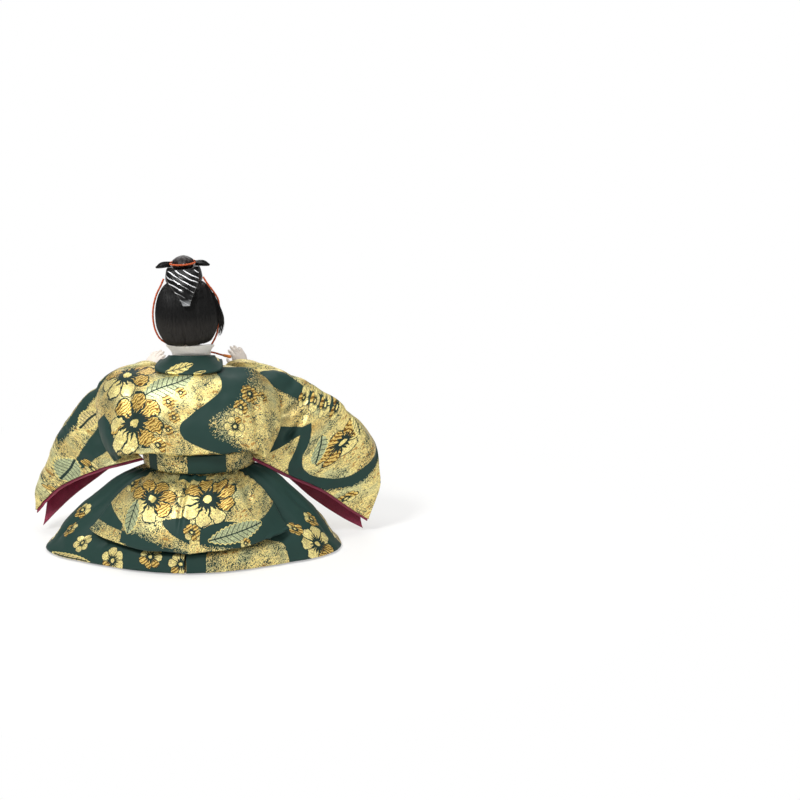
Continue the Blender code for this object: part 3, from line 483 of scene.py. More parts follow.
body = put(bloom, "Math", r, rim, operation="LESS_THAN")
side = put(bloom, "Math", 0.5, count, operation="SUBTRACT")
for operation, other in (("MULTIPLY", r), ("MULTIPLY", math.tau), ("DIVIDE", given["Petals"]),
                         ("LESS_THAN", flower["gap"])):
    side = put(bloom, "Math", side, other, operation=operation)
inner = put(bloom, "Math", rim, flower["rimLine"], operation="SUBTRACT")
edge = put(bloom, "Math", r, inner, operation="GREATER_THAN")
outline = put(bloom, "Math", side, edge, operation="MAXIMUM")
# the petals on one side are hatched, the others are plain
chance = put(bloom, "TexWhiteNoise", {"W": petalNumber}, noise_dimensions="1D")
petalAt = petalNumber
for operation, *others in (
        ("ADD", 0.5), ("DIVIDE", given["Petals"]), ("MULTIPLY_ADD", math.tau, flower["hatchSide"]),
        ("SUBTRACT", given["Turn"]), ("COSINE",),
        ("MULTIPLY_ADD", -flower["hatchSpread"], flower["hatchSpread"])):
    petalAt = put(bloom, "Math", petalAt, *others, operation=operation)
chance = put(bloom, "Math", chance, flower["hatchChance"], petalAt, operation="MULTIPLY_ADD")
chosen = put(bloom, "Math", chance, given["Hatch"], operation="LESS_THAN")
hatch = put(bloom, "VectorMath", away, flower["hatchLines"], out=1, operation="DOT_PRODUCT")
for operation, *others in (("SINE",), ("GREATER_THAN", flower["hatchWidth"]), ("MULTIPLY", chosen)):
    hatch = put(bloom, "Math", hatch, *others, operation=operation)
reach = put(bloom, "Math", spike, flower["stamenCut"], flower["stamenReach"], operation="MULTIPLY_ADD")
star = put(bloom, "Math", r, reach, operation="LESS_THAN")
heart = put(bloom, "Math", r, flower["heart"], operation="LESS_THAN")
tone = put(bloom, "MapRange", r, 0.35, 0.9)
blotch = put(bloom, "TexNoise", {"Vector": given["Place"], "Scale": 0.5, "Detail": 2.0})
blotch = put(bloom, "MapRange", blotch, 0.52, 0.62)
petal = thread["brightGold"]
for mask, name in ((tone, "cream"), (blotch, "paleGold"), (chosen, "hatchGold"), (hatch, "darkGold"),
                   (outline, "line"), (star, "line"), (heart, "brightGold")):
    petal = put(bloom, "Mix", {0: mask, 6: petal, 7: thread[name]}, **colourMix)
light = put(bloom, "Math", outline, star, operation="MAXIMUM")
light = put(bloom, "Math", 1.0, light, operation="SUBTRACT")
light = put(bloom, "Math", light, heart, operation="MAXIMUM")
fill(end, {"Colour": put(bloom, "Mix", {0: body, 6: given["Colour"], 7: petal}, **colourMix),
           "Gold": put(bloom, "Mix", {0: body, 2: given["Gold"], 3: light})})

# a leaf: pointed, toothed, with a midrib and slanting veins; its lines are in millimetres
frond = {"fullness": 0.8, "teeth": 2.6, "toothDepth": 0.07, "rib": 0.32, "edge": 0.45,
         "veinSlant": -0.9, "veins": 0.34, "veinWidth": 0.16}
leaf, given, end = newGroup("leafMotif", (
    ("Foot", "Vector"), ("Turn", "Float"), ("Length", "Float"), ("Width", "Float"), ("Tone", "Color")))
away = put(leaf, "VectorMath", given["Place"], given["Foot"], operation="SUBTRACT")
back = put(leaf, "Math", given["Turn"], -1.0, operation="MULTIPLY")
away = put(leaf, "VectorRotate", {"Vector": away, "Angle": back}, rotation_type="Z_AXIS")
ahead, y, z = put(leaf, "SeparateXYZ", away).node.outputs
x = put(leaf, "Math", ahead, given["Length"], operation="DIVIDE")
y = put(leaf, "Math", y, operation="ABSOLUTE")
tooth = put(leaf, "Math", ahead, frond["teeth"], operation="MULTIPLY")
tooth = put(leaf, "Math", tooth, operation="SINE")
rim = put(leaf, "Math", 1.0, x, operation="SUBTRACT")
for operation, other in (("MULTIPLY", x), ("MULTIPLY", 4.0), ("MAXIMUM", 0.0), ("POWER", frond["fullness"])):
    rim = put(leaf, "Math", rim, other, operation=operation)
rim = put(leaf, "Math", tooth, frond["toothDepth"], rim, operation="MULTIPLY_ADD")
rim = put(leaf, "Math", rim, given["Width"], operation="MULTIPLY")
body = put(leaf, "Math", y, rim, operation="LESS_THAN")
within = put(leaf, "Math", x, 0.5, 0.5, operation="COMPARE")
body = put(leaf, "Math", body, within, operation="MULTIPLY")
rib = put(leaf, "Math", y, frond["rib"], operation="LESS_THAN")
vein = y
for operation, *others in (("MULTIPLY_ADD", frond["veinSlant"], ahead), ("MULTIPLY", frond["veins"]),
                           ("FRACT",), ("LESS_THAN", frond["veinWidth"])):
    vein = put(leaf, "Math", vein, *others, operation=operation)
inner = put(leaf, "Math", rim, frond["edge"], operation="SUBTRACT")
edge = put(leaf, "Math", y, inner, operation="GREATER_THAN")
lines = put(leaf, "Math", rib, vein, operation="MAXIMUM")
blade = given["Tone"]
for mask, name in ((lines, "line"), (edge, "brightGold")):
    blade = put(leaf, "Mix", {0: mask, 6: blade, 7: thread[name]}, **colourMix)
light = put(leaf, "Math", 1.0, lines, operation="SUBTRACT")
light = put(leaf, "Math", light, edge, operation="MAXIMUM")
fill(end, {"Colour": put(leaf, "Mix", {0: body, 6: given["Colour"], 7: blade}, **colourMix),
           "Gold": put(leaf, "Mix", {0: body, 2: given["Gold"], 3: light})})
figures = {"flower": (bloom, ("Heart", "Radius", "Petals", "Turn", "Hatch")),
           "leaf": (leaf, ("Foot", "Length", "Width", "Turn", "Tone"))}


def streamOver(tree, place, gold, spec):
    # a green stream: local x runs along it; both edges are curves; one is crisp and one fades in dust
    moved = put(tree, "VectorMath", place, (*spec["origin"], 0), operation="SUBTRACT")
    moved = put(tree, "VectorRotate", {"Vector": moved, "Angle": -math.radians(spec.get("turn", 0.0))},
                rotation_type="Z_AXIS")
    x, y, z = put(tree, "SeparateXYZ", moved).node.outputs
    share = put(tree, "Math", x, spec["length"], operation="DIVIDE")
    half = spec["half"]    # the edges' curves span -half to +half
    past = put(tree, "Math", share, 0.5, 0.5, operation="COMPARE")
    outside = put(tree, "Math", 1.0, past, operation="SUBTRACT")
    for points, fade, sign in ((spec["low"], spec["fade"][0], -1), (spec["high"], spec["fade"][1], 1)):
        edge = put(tree, "FloatCurve", {"Value": share})
        mapping = edge.node.mapping
        for i, (a, b) in enumerate(points):
            at = (a / spec["length"], (b + half) / (2 * half))
            if i < 2:
                mapping.curves[0].points[i].location = at
            else:
                mapping.curves[0].points.new(*at)
        mapping.update()
        edge = put(tree, "Math", edge, 2 * half, -half, operation="MULTIPLY_ADD")
        clear = put(tree, "Math", edge, sign * fade, operation="ADD")
        beyond = put(tree, "MapRange", y, edge, clear)
        outside = put(tree, "Math", outside, beyond, operation="MAXIMUM")
    return put(tree, "Math", gold, outside, operation="MINIMUM")


goldPatches = {  # noise: cells per mm, detail, roughness, distortion, then the range that is spread to which
    "bare": (0.12, 2.0, 0.5, 0.0, 0.36, 0.55, -0.40, 0.05),     # satin showing through the gold
    # the lighter gold patches are partly the thread's own tone and partly painted glint
    "bright": (0.9, 3.0, 0.8, 0.0, 0.40, 0.60, 0.0, 1.0),
    "greenish": (0.075, 2.0, 0.5, 0.0, 0.50, 0.62, 0.0, 0.6),
    "warm": (0.075, 2.0, 0.5, 0.0, 0.50, 0.42, 0.0, 1.0),
    "flecked": (0.5, 2.0, 0.5, 0.0, 0.56, 0.61, 0.0, 0.75),     # ochre flecks where it is warm
    # browner gold laid at random in broad drifts, not wear
    "brownDrift": (0.045, 3.0, 0.5, 0.8, 0.52, 0.68, 0.0, 0.5),       # browner gold in broad drifts
}
goldThread = {
    "specks": 2.7,              # specks of gold to a millimetre, where it thins out
    "floats": (2.6, 1.1, 1.0),  # short floats of thread to a millimetre, along and across
    "metallic": 0.55, "roughSatin": 0.58, "roughGold": 0.36,
    "twill": 0.55,              # ribs of the satin to a millimetre, coarser than real so that they show
    "relief": 0.00012,          # metres
}


def brocade(name, spec):
    # figured silk brocade, woven: a dark satin with a soft sheen under flat gold thread, its glitter painted
    # in specks, so it reads as gold with browner drifts and green streams, and as single threads from near by
    material, tree, shader = newMaterial(name)
    place = put(tree, "Attribute", out=1, attribute_name="clothMm")
    if "shift" in spec:
        place = put(tree, "VectorMath", place, spec["shift"], operation="ADD")
    patch = {}
    for title, (scale, detail, roughness, distortion, *span) in goldPatches.items():
        field = put(tree, "TexNoise", {"Vector": place, "Scale": scale, "Detail": detail,
                                       "Roughness": roughness, "Distortion": distortion})
        patch[title] = put(tree, "MapRange", field, *span)
    gold = spec.get("gold")
    if "flow" in spec:   # long winding bands in place of drawn streams
        wave = put(tree, "TexNoise", {"Vector": place, "Scale": spec["flow"], "Detail": 1.0,
                                      "Distortion": 0.6})
        wave = put(tree, "Math", wave, 4.0, operation="MULTIPLY")
        wave = put(tree, "Math", wave, operation="FRACT")
        gold = put(tree, "MapRange", wave, 0.34, 0.70, 0.0, 0.95)
    gold = put(tree, "Math", gold, patch["bare"], operation="ADD")
    for stream in spec.get("streams", ()):
        gold = streamOver(tree, place, gold, stream)
    grain = put(tree, "TexVoronoi", {"Vector": place, "Scale": goldThread["specks"]}, out=1,
                voronoi_dimensions="2D")
    even = put(tree, "SeparateXYZ", grain)
    gold = put(tree, "Math", gold, even, operation="GREATER_THAN")
    flecked = put(tree, "Math", patch["flecked"], patch["warm"], operation="MULTIPLY")
    goldColour = thread["paleGold"]
    for mask, title in ((patch["bright"], "brightGold"), (patch["greenish"], "leafGreen"), (flecked, "ochre"),
                        (patch["brownDrift"], "brownGold")):
        goldColour = put(tree, "Mix", {0: mask, 6: goldColour, 7: thread[title]}, **colourMix)
    colour = put(tree, "Mix", {0: gold, 6: thread["green"], 7: goldColour}, **colourMix)
    scatter = spec.get("scatter")
    if scatter:
        # the scattered flowers keep to the side of the cloth that the photograph doesn't show
        cell = scatter["cell"]
        small = put(tree, "VectorMath", {0: place, "Scale": 1.0 / cell}, operation="SCALE")
        cells = put(tree, "TexVoronoi", {"Vector": small, "Scale": 1.0, "Randomness": 0.75},
                    voronoi_dimensions="2D").node
        heart = put(tree, "VectorMath", {0: cells.outputs["Position"], "Scale": cell}, operation="SCALE")
        draw = put(tree, "SeparateXYZ", cells.outputs["Color"]).node
        size = put(tree, "MapRange", draw.outputs[0], scatter["share"], 1.0, 0.26 * cell, 0.44 * cell)
        there = put(tree, "Math", draw.outputs[0], scatter["share"], operation="GREATER_THAN")
        axis, limit, side = scatter["side"]
        coordinate = put(tree, "SeparateXYZ", heart).node.outputs[axis]
        hidden = put(tree, "Math", coordinate, limit, operation=side)
        for operation, other in (("MULTIPLY", there), ("MULTIPLY", hidden), ("ADD", 0.01)):
            size = put(tree, "Math", size, other, operation=operation)
        turn = put(tree, "Math", draw.outputs[1], 6.0, operation="MULTIPLY")
        node = put(tree, "Group", {"Place": place, "Heart": heart, "Radius": size, "Turn": turn,
                                   "Petals": 7.0, "Hatch": 0.4, "Colour": colour, "Gold": gold},
                   node_tree=bloom).node
        colour, gold = node.outputs
    for kind, x, y, size, second, turn, last in spec.get("motifs", ()):
        group, sockets = figures[kind]
        own = (x, y, 0), size, second, math.radians(turn), thread[last] if kind == "leaf" else last
        node = put(tree, "Group", {"Place": place, "Colour": colour, "Gold": gold, **dict(zip(sockets, own))},
                   node_tree=group).node
        colour, gold = node.outputs
    # painted glint: each short float of gold thread, and each speck, is painted lighter or darker, standing
    # in for the metal's glitter under the lamps
    floats = put(tree, "VectorMath", place, goldThread["floats"], operation="MULTIPLY")
    floats = put(tree, "TexNoise", {"Vector": floats, "Scale": 1.0, "Detail": 2.0, "Roughness": 0.75})
    floats = put(tree, "MapRange", floats, 0.32, 0.68, 0.48, 1.55)
    paintedGlint = put(tree, "MapRange", {0: even, 3: 0.78, 4: 1.26})
    paintedGlint = put(tree, "Math", floats, paintedGlint, operation="MULTIPLY")
    glintBrightness = put(tree, "Mix", {0: gold, 2: 1.0, 3: paintedGlint})
    # weave: the twill ribs of the satin, and the thicker gold wefts over it
    rib = put(tree, "TexWave", {"Vector": place, "Scale": goldThread["twill"], "Distortion": 0.6,
                                "Detail": 1.0},
              bands_direction="DIAGONAL")
    height = put(tree, "Math", floats, gold, operation="MULTIPLY")
    for layer, share in ((rib, 0.25), (gold, 0.8)):
        height = put(tree, "Math", layer, share, height, operation="MULTIPLY_ADD")
    fill(shader, {
        "Base Color": put(tree, "VectorMath", {0: colour, "Scale": glintBrightness}, operation="SCALE"),
        "Metallic": put(tree, "Math", gold, goldThread["metallic"], operation="MULTIPLY"),
        "Roughness": put(tree, "MapRange", {0: gold, 3: goldThread["roughSatin"],
                                            4: goldThread["roughGold"]}),
        "Normal": put(tree, "Bump", {"Height": height, "Strength": 0.35, "Distance": goldThread["relief"]}),
        "Sheen Weight": 0.04, "Sheen Roughness": 0.4, "Specular IOR Level": 0.3,
    })
    return material


def plainMaterial(name, colour, tint, roughness, grain, bump=0.0, stretch=(1, 1, 1), **sockets):
    # two shades of one colour in a fine grain that lies still on the object; grain is in cells per metre
    material, tree, shader = newMaterial(name)
    place = put(tree, "Mapping", {"Vector": put(tree, "TexCoord", out=3), "Scale": stretch})
    grainOf = put(tree, "TexNoise", {"Vector": place, "Scale": grain, "Detail": 4.0, "Roughness": 0.6})
    even = put(tree, "MapRange", grainOf, 0.3, 0.7)
    fill(shader, {
        "Base Color": put(tree, "Mix", {0: even, 6: hexLinear(tint), 7: hexLinear(colour)}, **colourMix),
        "Roughness": put(tree, "MapRange", {0: even, 3: roughness + 0.08, 4: roughness - 0.06}),
        **sockets})
    if bump:
        fill(shader, {"Normal": put(tree, "Bump", {"Height": grainOf, "Strength": 0.5, "Distance": bump})})
    return material


everywhere = (0, -1000.0, "GREATER_THAN")
frontCells = {"cell": 27.0, "share": 0.35, "side": (0, -22, "GREATER_THAN")}
insideCells = {"cell": 27.0, "share": 0.35, "side": (1, -8, "LESS_THAN")}
brocades = {name: brocade("silkBrocade" + name, spec) for name, spec in {
    "Jacket": dict(gold=0.95, streams=jacketStreams, motifs=jacketMotifs),
    "Fronts": dict(flow=0.012, shift=(40, 90, 0), scatter={"cell": 30.0, "share": 0.45, "side": everywhere}),
    "LeftLeg": dict(gold=0.8, scatter=frontCells, streams=leftLegStreams, motifs=leftLegMotifs),
    "RightLeg": dict(gold=0.8, scatter=dict(frontCells, cell=24.0), streams=rightLegStreams,
                     motifs=rightLegMotifs),
    "Seat": dict(gold=0.9, streams=seatStreams, motifs=seatMotifs),
    "Band": dict(gold=0.7, streams=bandStreams),
    "Collar": dict(gold=-0.5, motifs=collarMotifs),
    "LeftSleeve": dict(gold=0.95, scatter=insideCells, streams=leftSleeveStreams, motifs=leftSleeveMotifs),
    "RightSleeve": dict(gold=0.95, scatter=insideCells, streams=rightSleeveStreams, motifs=rightSleeveMotifs),
}.items()}
# plain-woven silk dyed wine red, matt with a fine thread
wineSilk = plainMaterial("wineSilk", "#95264A", "#741B38", 0.5, 1600.0, 0.00005)
# crinkled silk, a soft white without any shine
whiteCrepe = plainMaterial("whiteCrepe", "#FBF8F3", "#F0EAE0", 0.75, 1400.0, 0.00008)
print("brocades and silks mixed")


# dressing the body: the straw core's waist and the hem of the trousers

waist = {
    "centre": Vector((-3.5, 6, 48)) * mm,
    "halfWidth": 23.5 * mm,
    "halfDepth": 21.0 * mm,
}
hemLine = [Vector(p) * mm for p in (  # from the middle of the back round the doll's left to the front
    (0, 56.5, 0), (17, 54, 0), (34, 47.5, 0), (51, 38.5, 0), (66, 29, 0), (74, 16, 0),
    (73, 0, 0), (66, -20, 0), (54, -39, 0), (36, -53, 0), (17, -58, 0), (0, -57, 0),
)]
legProfiles = [  # from the hem to the waist: share of the way out, share of the waist's height
    [(1.00, 0.020), (1.00, 0.11), (0.97, 0.195), (0.80, 0.26), (0.36, 0.58), (0.02, 0.88), (0.0, 1.0)],
    [(1.00, 0.020), (0.98, 0.12), (0.92, 0.22), (0.74, 0.33), (0.34, 0.62), (0.02, 0.88), (0.0, 1.0)],
    [(1.00, 0.020), (0.92, 0.12), (0.81, 0.27), (0.62, 0.46), (0.24, 0.74), (0.02, 0.88), (0.0, 1.0)],
    [(1.00, 0.020), (0.95, 0.13), (0.84, 0.27), (0.63, 0.42), (0.31, 0.60), (0.02, 0.88), (0.0, 1.0)],
    [(1.00, 0.020), (0.99, 0.13), (0.89, 0.25), (0.66, 0.38), (0.32, 0.60), (0.02, 0.88), (0.0, 1.0)],
]
seatProfiles = [
    [(0.0, 1.0), (0.02, 0.90), (0.40, 0.83), (0.78, 0.70), (1.03, 0.50), (1.10, 0.34), (1.07, 0.245),
     (0.97, 0.262)],
    [(0.0, 1.0), (0.02, 0.90), (0.36, 0.83), (0.68, 0.71), (0.90, 0.54), (1.02, 0.38), (1.05, 0.275),
     (0.97, 0.300)],
    [(0.0, 1.0), (0.02, 0.90), (0.24, 0.83), (0.42, 0.74), (0.60, 0.60), (0.74, 0.46), (0.86, 0.350),
     (0.83, 0.375)],
]
legShape = {  # s runs along the hem from 0 in the middle behind to 1 in the middle in front
    "puff": {1: 0.10, -1: 0.14},   # share of the waist's height that each leg swells beside the seat
    "puffAt": 0.42, "puffWidth": 0.11,
    "pleatsFrom": 0.52, "pleats": 4, "pleatDepth": 2.2,   # the front is laid in pleats
    "under": 1.1,                  # mm from the straw core to the cloth
}
seatShape = {"reach": 0.29, "under": 2.5}   # how far it reaches along the hem; mm from the core


def hemPoint(s, side):
    p = along(hemLine, s)
    return Vector((p.x * side, p.y, 0))


def waistPoint(s, side, out):
    a = math.radians(90 - 180 * s)
    across = (waist["halfWidth"] + out) * math.cos(a) * side
    return waist["centre"] + Vector((across, (waist["halfDepth"] + out) * math.sin(a), 0))


def profilePlace(profiles, s, w):
    rows = [[Vector((*p, 0)) for p in row] for row in profiles]
    place = along([along(row, w) for row in rows], s)
    return max(place.x, 0.0), place.y


def legPlace(side):
    def place(u, v):
        s = 0.0025 + 0.9955 * (u * 1.25 if u < 0.4 else 0.5 + (u - 0.4) / 1.2)   # a closer grid in front
        out, up = profilePlace(legProfiles, s, v)
        inner, hem = waistPoint(s, side, legShape["under"] * mm), hemPoint(s, side)
        p = inner + (hem - inner) * out
        puff = legShape["puff"][side] * swell(s, legShape["puffAt"], legShape["puffWidth"])
        p.z = inner.z * (up + puff * math.sin(math.pi * out ** 0.6))
        fold = max(0.0, (s - legShape["pleatsFrom"]) / (1 - legShape["pleatsFrom"])) * legShape["pleats"]
        wave = abs(2 * (fold % 1.0) - 1) - 0.5
        grip = min(1.0, fold) * min(1.0, out * 1.6)
        return p + Vector((hem.x, hem.y, 0)).normalized() * wave * legShape["pleatDepth"] * mm * grip

    return place


def seatPlace(u, v):
    s = abs(2 * u - 1)
    side = 1 if u < 0.5 else -1
    out, up = profilePlace(seatProfiles, s, v)
    s *= seatShape["reach"]
    inner, hem = waistPoint(s, side, seatShape["under"] * mm), hemPoint(s, side)
    p = inner + (hem - inner) * out
    p.z = inner.z * up
    return p


# the trousers: two legs spread on the floor and the puffed seat over them

leg = {
    "across": 250, "down": 54, "thickness": 0.8, "soft": 0.5, "deep": 1.3, "gather": True,
    "hemRoll": 0.5,      # mm that the folded hem stands proud
    "waistPleat": 0.55,  # mm, gathers under the band
    "pleatPitch": 7.0,   # mm along the hem
}
legCreases = {
    "left": ((52, 4, 60, 44, 1.6, 0.9), (70, 3, 66, 40, 2.2, 0.8), (44, 10, 20, 13, 1.2, 0.5),
             (-50, 6, -58, 42, 2.2, 0.8), (-30, 5, -41, 40, 2.2, 0.8), (-64, 3, -72, 22, 1.5, 0.5),
             (-12, 6, -20, 40, 2.0, 0.7)),
    "right": ((50, 4, 58, 44, 1.6, 0.9), (66, 3, 70, 42, 2.0, 0.9), (30, 12, 10, 13, 1.2, 0.4),
              (-44, 5, -52, 42, 2.2, 0.8), (-58, 10, -62, 38, 1.8, 0.8), (-26, 4, -36, 40, 2.2, 0.8),
              (-10, 6, -16, 38, 2.0, 0.7)),
}


def legFolds(u, v, s, t):
    gather = leg["waistPleat"] * smoothStep(0.55, 0.95, v)
    return leg["hemRoll"] * swell(t, 1.0, 1.6) + gather * math.cos(math.tau * s / leg["pleatPitch"])


for side, word in ((1, "left"), (-1, "right")):
    piece = clothPiece(f"{word}TrouserLeg", legPlace(side), dict(
        leg, outward=(side, -0.1, 0.4), seed=3.0 + side, folds=legFolds, creases=legCreases[word]))
    dress(piece, "torso", "brocade", brocades[f"{word.title()}Leg"], f"{word}_trouser_leg", "draped")

seat = {
    "across": 150, "down": 62, "thickness": 0.8, "outward": (0, 1, 0.5), "soft": 0.5, "deep": 1.4,
    "seed": 12.0, "pleatDepth": 0.6, "pleatPitch": 5.2, "hemWave": 0.25, "hemPitch": 4.1,   # mm
    "creases": (
        (-2, 4, -3, 44, 1.0, 0.9),     # the centre seam
        (-14, 6, -20, 30, 2.0, 0.7), (12, 5, 19, 33, 2.2, 0.7), (26, 8, 36, 30, 2.4, 0.9),
        (-27, 8, -38, 28, 2.2, 0.8), (4, 8, 8, 26, 1.6, 0.45), (-9, 4, -13, 18, 1.2, 0.5),
        (20, 4, 27, 17, 1.2, 0.6), (-20, 4, -29, 16, 1.2, 0.5),
    ),
}


def seatFolds(u, v, s, t):
    gather = smoothStep(0.42, 0.12, v) * smoothStep(0.0, 0.05, v)
    drift = 1.3 * noise.noise(Vector((s / 9, 0, 3)))
    pleat = seat["pleatDepth"] * gather * math.cos(math.tau * s / seat["pleatPitch"] + drift)
    return pleat + seat["hemWave"] * smoothStep(0.80, 0.90, v) * math.sin(s / seat["hemPitch"] + 1.0)


piece = clothPiece("trouserSeat", seatPlace, dict(seat, folds=seatFolds))
dress(piece, "torso", "brocade", brocades["Seat"], "trouser_seat", "gathered")


# the waist band and its knot

band = {"across": 170, "down": 10, "thickness": 1.0, "outward": (0, 1, 0), "soft": 0.3, "seed": 21.0,
        "low": 44.2, "high": 53.5, "out": 4.9,   # mm: its edges' heights, and its way out from the core
        "crown": 0.25, "edgeFold": 0.2}


def bandPlace(u, v):
    t = (0.999 + u * 1.998) % 2.0   # it starts and ends under the knot
    p = waistPoint(t if t <= 1 else 2 - t, 1 if t <= 1 else -1, band["out"] * mm)
    p.z = (band["high"] + (band["low"] - band["high"]) * v) * mm
    return p


def bandFolds(u, v, s, t):
    return band["crown"] * math.sin(math.pi * v) - band["edgeFold"] * swell(v, 0.93, 0.05)


piece = clothPiece("waistBand", bandPlace, dict(band, folds=bandFolds))
dress(piece, "torso", "brocade", brocades["Band"], "waist_band", "stretched")


# the jacket

jacketBack = {
    "rows": [
        [(44, 5, 84.5), (41.5, 6, 87), (34, 6, 90.7), (20, 7, 93.2), (0, 14, 94.8), (-18, 8, 93),
         (-30, 6, 92), (-37.5, 6, 87), (-41, 5, 82.5)],
        [(45.5, 5, 79), (46.5, 9, 80), (37, 17, 84.5), (20, 22, 88), (0, 24.5, 89.3), (-20, 22, 88),
         (-34, 17, 84), (-43, 9, 78.5), (-43, 5, 77)],
        [(45.5, 6, 71), (47, 11, 71), (38, 23.5, 73), (20, 30, 76), (0, 32, 77), (-20, 30, 75.5),
         (-36, 23.5, 72), (-45, 12, 70.5), (-44, 6, 71)],
        [(43.5, 10, 61), (45.5, 15, 61.5), (37, 27.5, 62), (19, 34, 64), (0, 35.5, 64.5), (-19, 34, 64),
         (-35, 27.5, 62.5), (-44, 15, 62), (-42.5, 10, 61)],
        [(40, 13, 53), (42, 18, 53), (33, 29.5, 54.5), (18, 35, 56), (0, 36, 55.5), (-17, 35, 56),
         (-31, 29.5, 56), (-41, 18, 55), (-40, 13, 54)],
        [(36.5, 15, 47.6), (37.5, 19, 47.2), (30.5, 26.2, 52.4), (16, 31.2, 54.8), (0, 32.5, 54),
         (-16, 31.5, 55), (-29, 26.8, 54.2), (-37.5, 19.4, 49.2), (-36.5, 15, 48.8)],
    ],
    "across": 160, "down": 76, "thickness": 0.8, "outward": (0, 1, 0.3), "soft": 0.65, "deep": 1.5,
    "seed": 31.0, "gatherDepth": 0.45, "gatherPitch": 8.0,   # mm, above the band
    "creases": (
        (-30, 12, -26, 56, 3.0, 0.8), (-10, 40, -26, 50, 2.0, 0.6), (18, 44, 34, 36, 2.2, 0.7),
        (34, 14, 37, 50, 2.2, 0.7), (-6, 52, 8, 53, 1.6, 0.5), (6, 12, 20, 24, 3.4, 0.4),
        (-40, 34, -24, 51, 2.0, 0.7), (-43, 16, -39, 46, 2.0, 0.6), (30, 30, 22, 52, 2.2, 0.7),
        (42, 34, 26, 46, 1.8, 0.6),
    ),
}


def jacketFolds(u, v, s, t):
    gather = jacketBack["gatherDepth"] * smoothStep(0.80, 1.0, v)
    drift = 2.2 * noise.noise(Vector((s / 13, 1, 5)))
    return gather * math.sin(math.tau * s / jacketBack["gatherPitch"] + drift)


piece = clothPiece("jacketBack", surfaceOf(jacketBack["rows"]), dict(jacketBack, folds=jacketFolds))
dress(piece, "torso", "brocade", brocades["Jacket"], "jacket_back", "gathered")

frontCloth = {"across": 60, "down": 60, "thickness": 0.8, "outward": (0, -1, 0.2), "soft": 0.2, "seed": 41.0,
              "creases": ((-6, 30, 4, 58, 2.4, 0.35),)}
jacketFronts = {
    "left": [
        [(31, 9, 88.4), (25, 10, 89.8), (17, 11, 90.6), (13, 12.5, 91.2)],
        [(31, 0, 87.5), (24, -3, 89.8), (16.5, -8, 90), (12, -11.5, 89)],
        [(27, -8, 76), (21, -13, 77), (10, -18.2, 78), (-1, -20.4, 79)],
        [(25, -9, 62), (19, -15, 62), (6, -20.5, 62), (-8, -21, 62)],
        [(24, -9, 50.5), (18, -14.5, 50), (6, -19.6, 50), (-8, -20, 50)],
    ],
    "right": [
        [(-29, 9, 88.6), (-24, 10, 89.8), (-17, 11, 90.6), (-13, 12.5, 91.2)],
        [(-30, 0, 87.5), (-24, -3, 89.6), (-16.5, -8, 90), (-11, -11.5, 89)],
        [(-27, -8, 76), (-21, -12, 77), (-10, -16.5, 78), (2, -17.8, 79)],
        [(-25, -9, 65), (-19, -14, 65), (-5, -18.2, 65), (9, -17.8, 65)],
        [(-24, -9, 55.5), (-18, -14, 55), (-5, -18.6, 55), (9, -18, 55)],
    ],
}
for side, rows in jacketFronts.items():
    piece = clothPiece(f"jacketFront{side.title()}", surfaceOf(rows), frontCloth)
    dress(piece, "torso", "brocade", brocades["Fronts"], f"jacket_front_{side}", "draped")

collars = {
    "outerCollar": {"rows": [
        [(2, -22.6, 64), (10, -21.2, 75), (15.4, -15.2, 88), (15.6, 0, 94.8), (16.2, 15.2, 92.8),
         (0, 21.5, 92.4), (-15.4, 15.4, 93.0), (-14.8, 0, 95.0), (-14, -15, 87.4), (-8.5, -18.85, 76.5)],
        [(-7, -23.2, 68), (2, -21.4, 79), (8.5, -16, 89), (11.5, -3, 95.8), (8.5, 9, 99), (0, 13, 99.8),
         (-8.5, 9, 99), (-11.5, -3, 95.8), (-7.8, -16.4, 88), (-1, -19, 80)],
    ], "across": 220, "down": 12, "thickness": 0.8, "outward": (0, 0.6, 1), "soft": 0.12, "seed": 51.0},
    "innerCollar": {"rows": [
        [(1.5, -15, 86), (7.5, -8, 90.5), (9.8, -2, 93), (8, 8, 95), (0, 11.6, 95.5), (-8, 8, 95),
         (-9.8, -2, 93), (-7.5, -8, 90.5), (-1.5, -14.2, 86.6)],
        [(1.2, -14.8, 87.5), (7, -8, 92.5), (9.5, -1.5, 96.8), (7.7, 7.9, 99.6), (0, 11.5, 100.2),
         (-7.7, 7.9, 99.6), (-9.5, -1.5, 96.8), (-7, -8, 92.5), (-1.3, -14, 88)],
        [(1, -14.6, 89), (6.5, -8, 94.5), (9.8, -0.5, 101.0), (11.4, 8.4, 104.5), (0, 14.4, 105.2),
         (-11.4, 8.4, 104.5), (-9.8, -0.5, 101.0), (-6.5, -8, 94.5), (-1.2, -13.8, 89.3)],
    ], "across": 150, "down": 12, "thickness": 0.5, "outward": (0, 1, 0), "soft": 0.08, "seed": 52.0},
}
collarRoll = {"height": 0.35, "width": 0.12}   # mm that the folded edges stand proud, and share of the width


def rolled(u, v, s, t):
    return collarRoll["height"] * (swell(v, 0, collarRoll["width"]) + swell(v, 1, collarRoll["width"]))


for name, slot, cloth, node in (("outerCollar", "collar_brocade", brocades["Collar"], "outer_collar"),
                                ("innerCollar", "white_collar", whiteCrepe, "inner_collar")):
    piece = clothPiece(name, surfaceOf(collars[name]["rows"]), dict(collars[name], folds=rolled))
    dress(piece, "torso", slot, cloth, node, "folded")


# the wide sleeves: outer panel, ridge over the arm, inner panel, with a wine-red lining

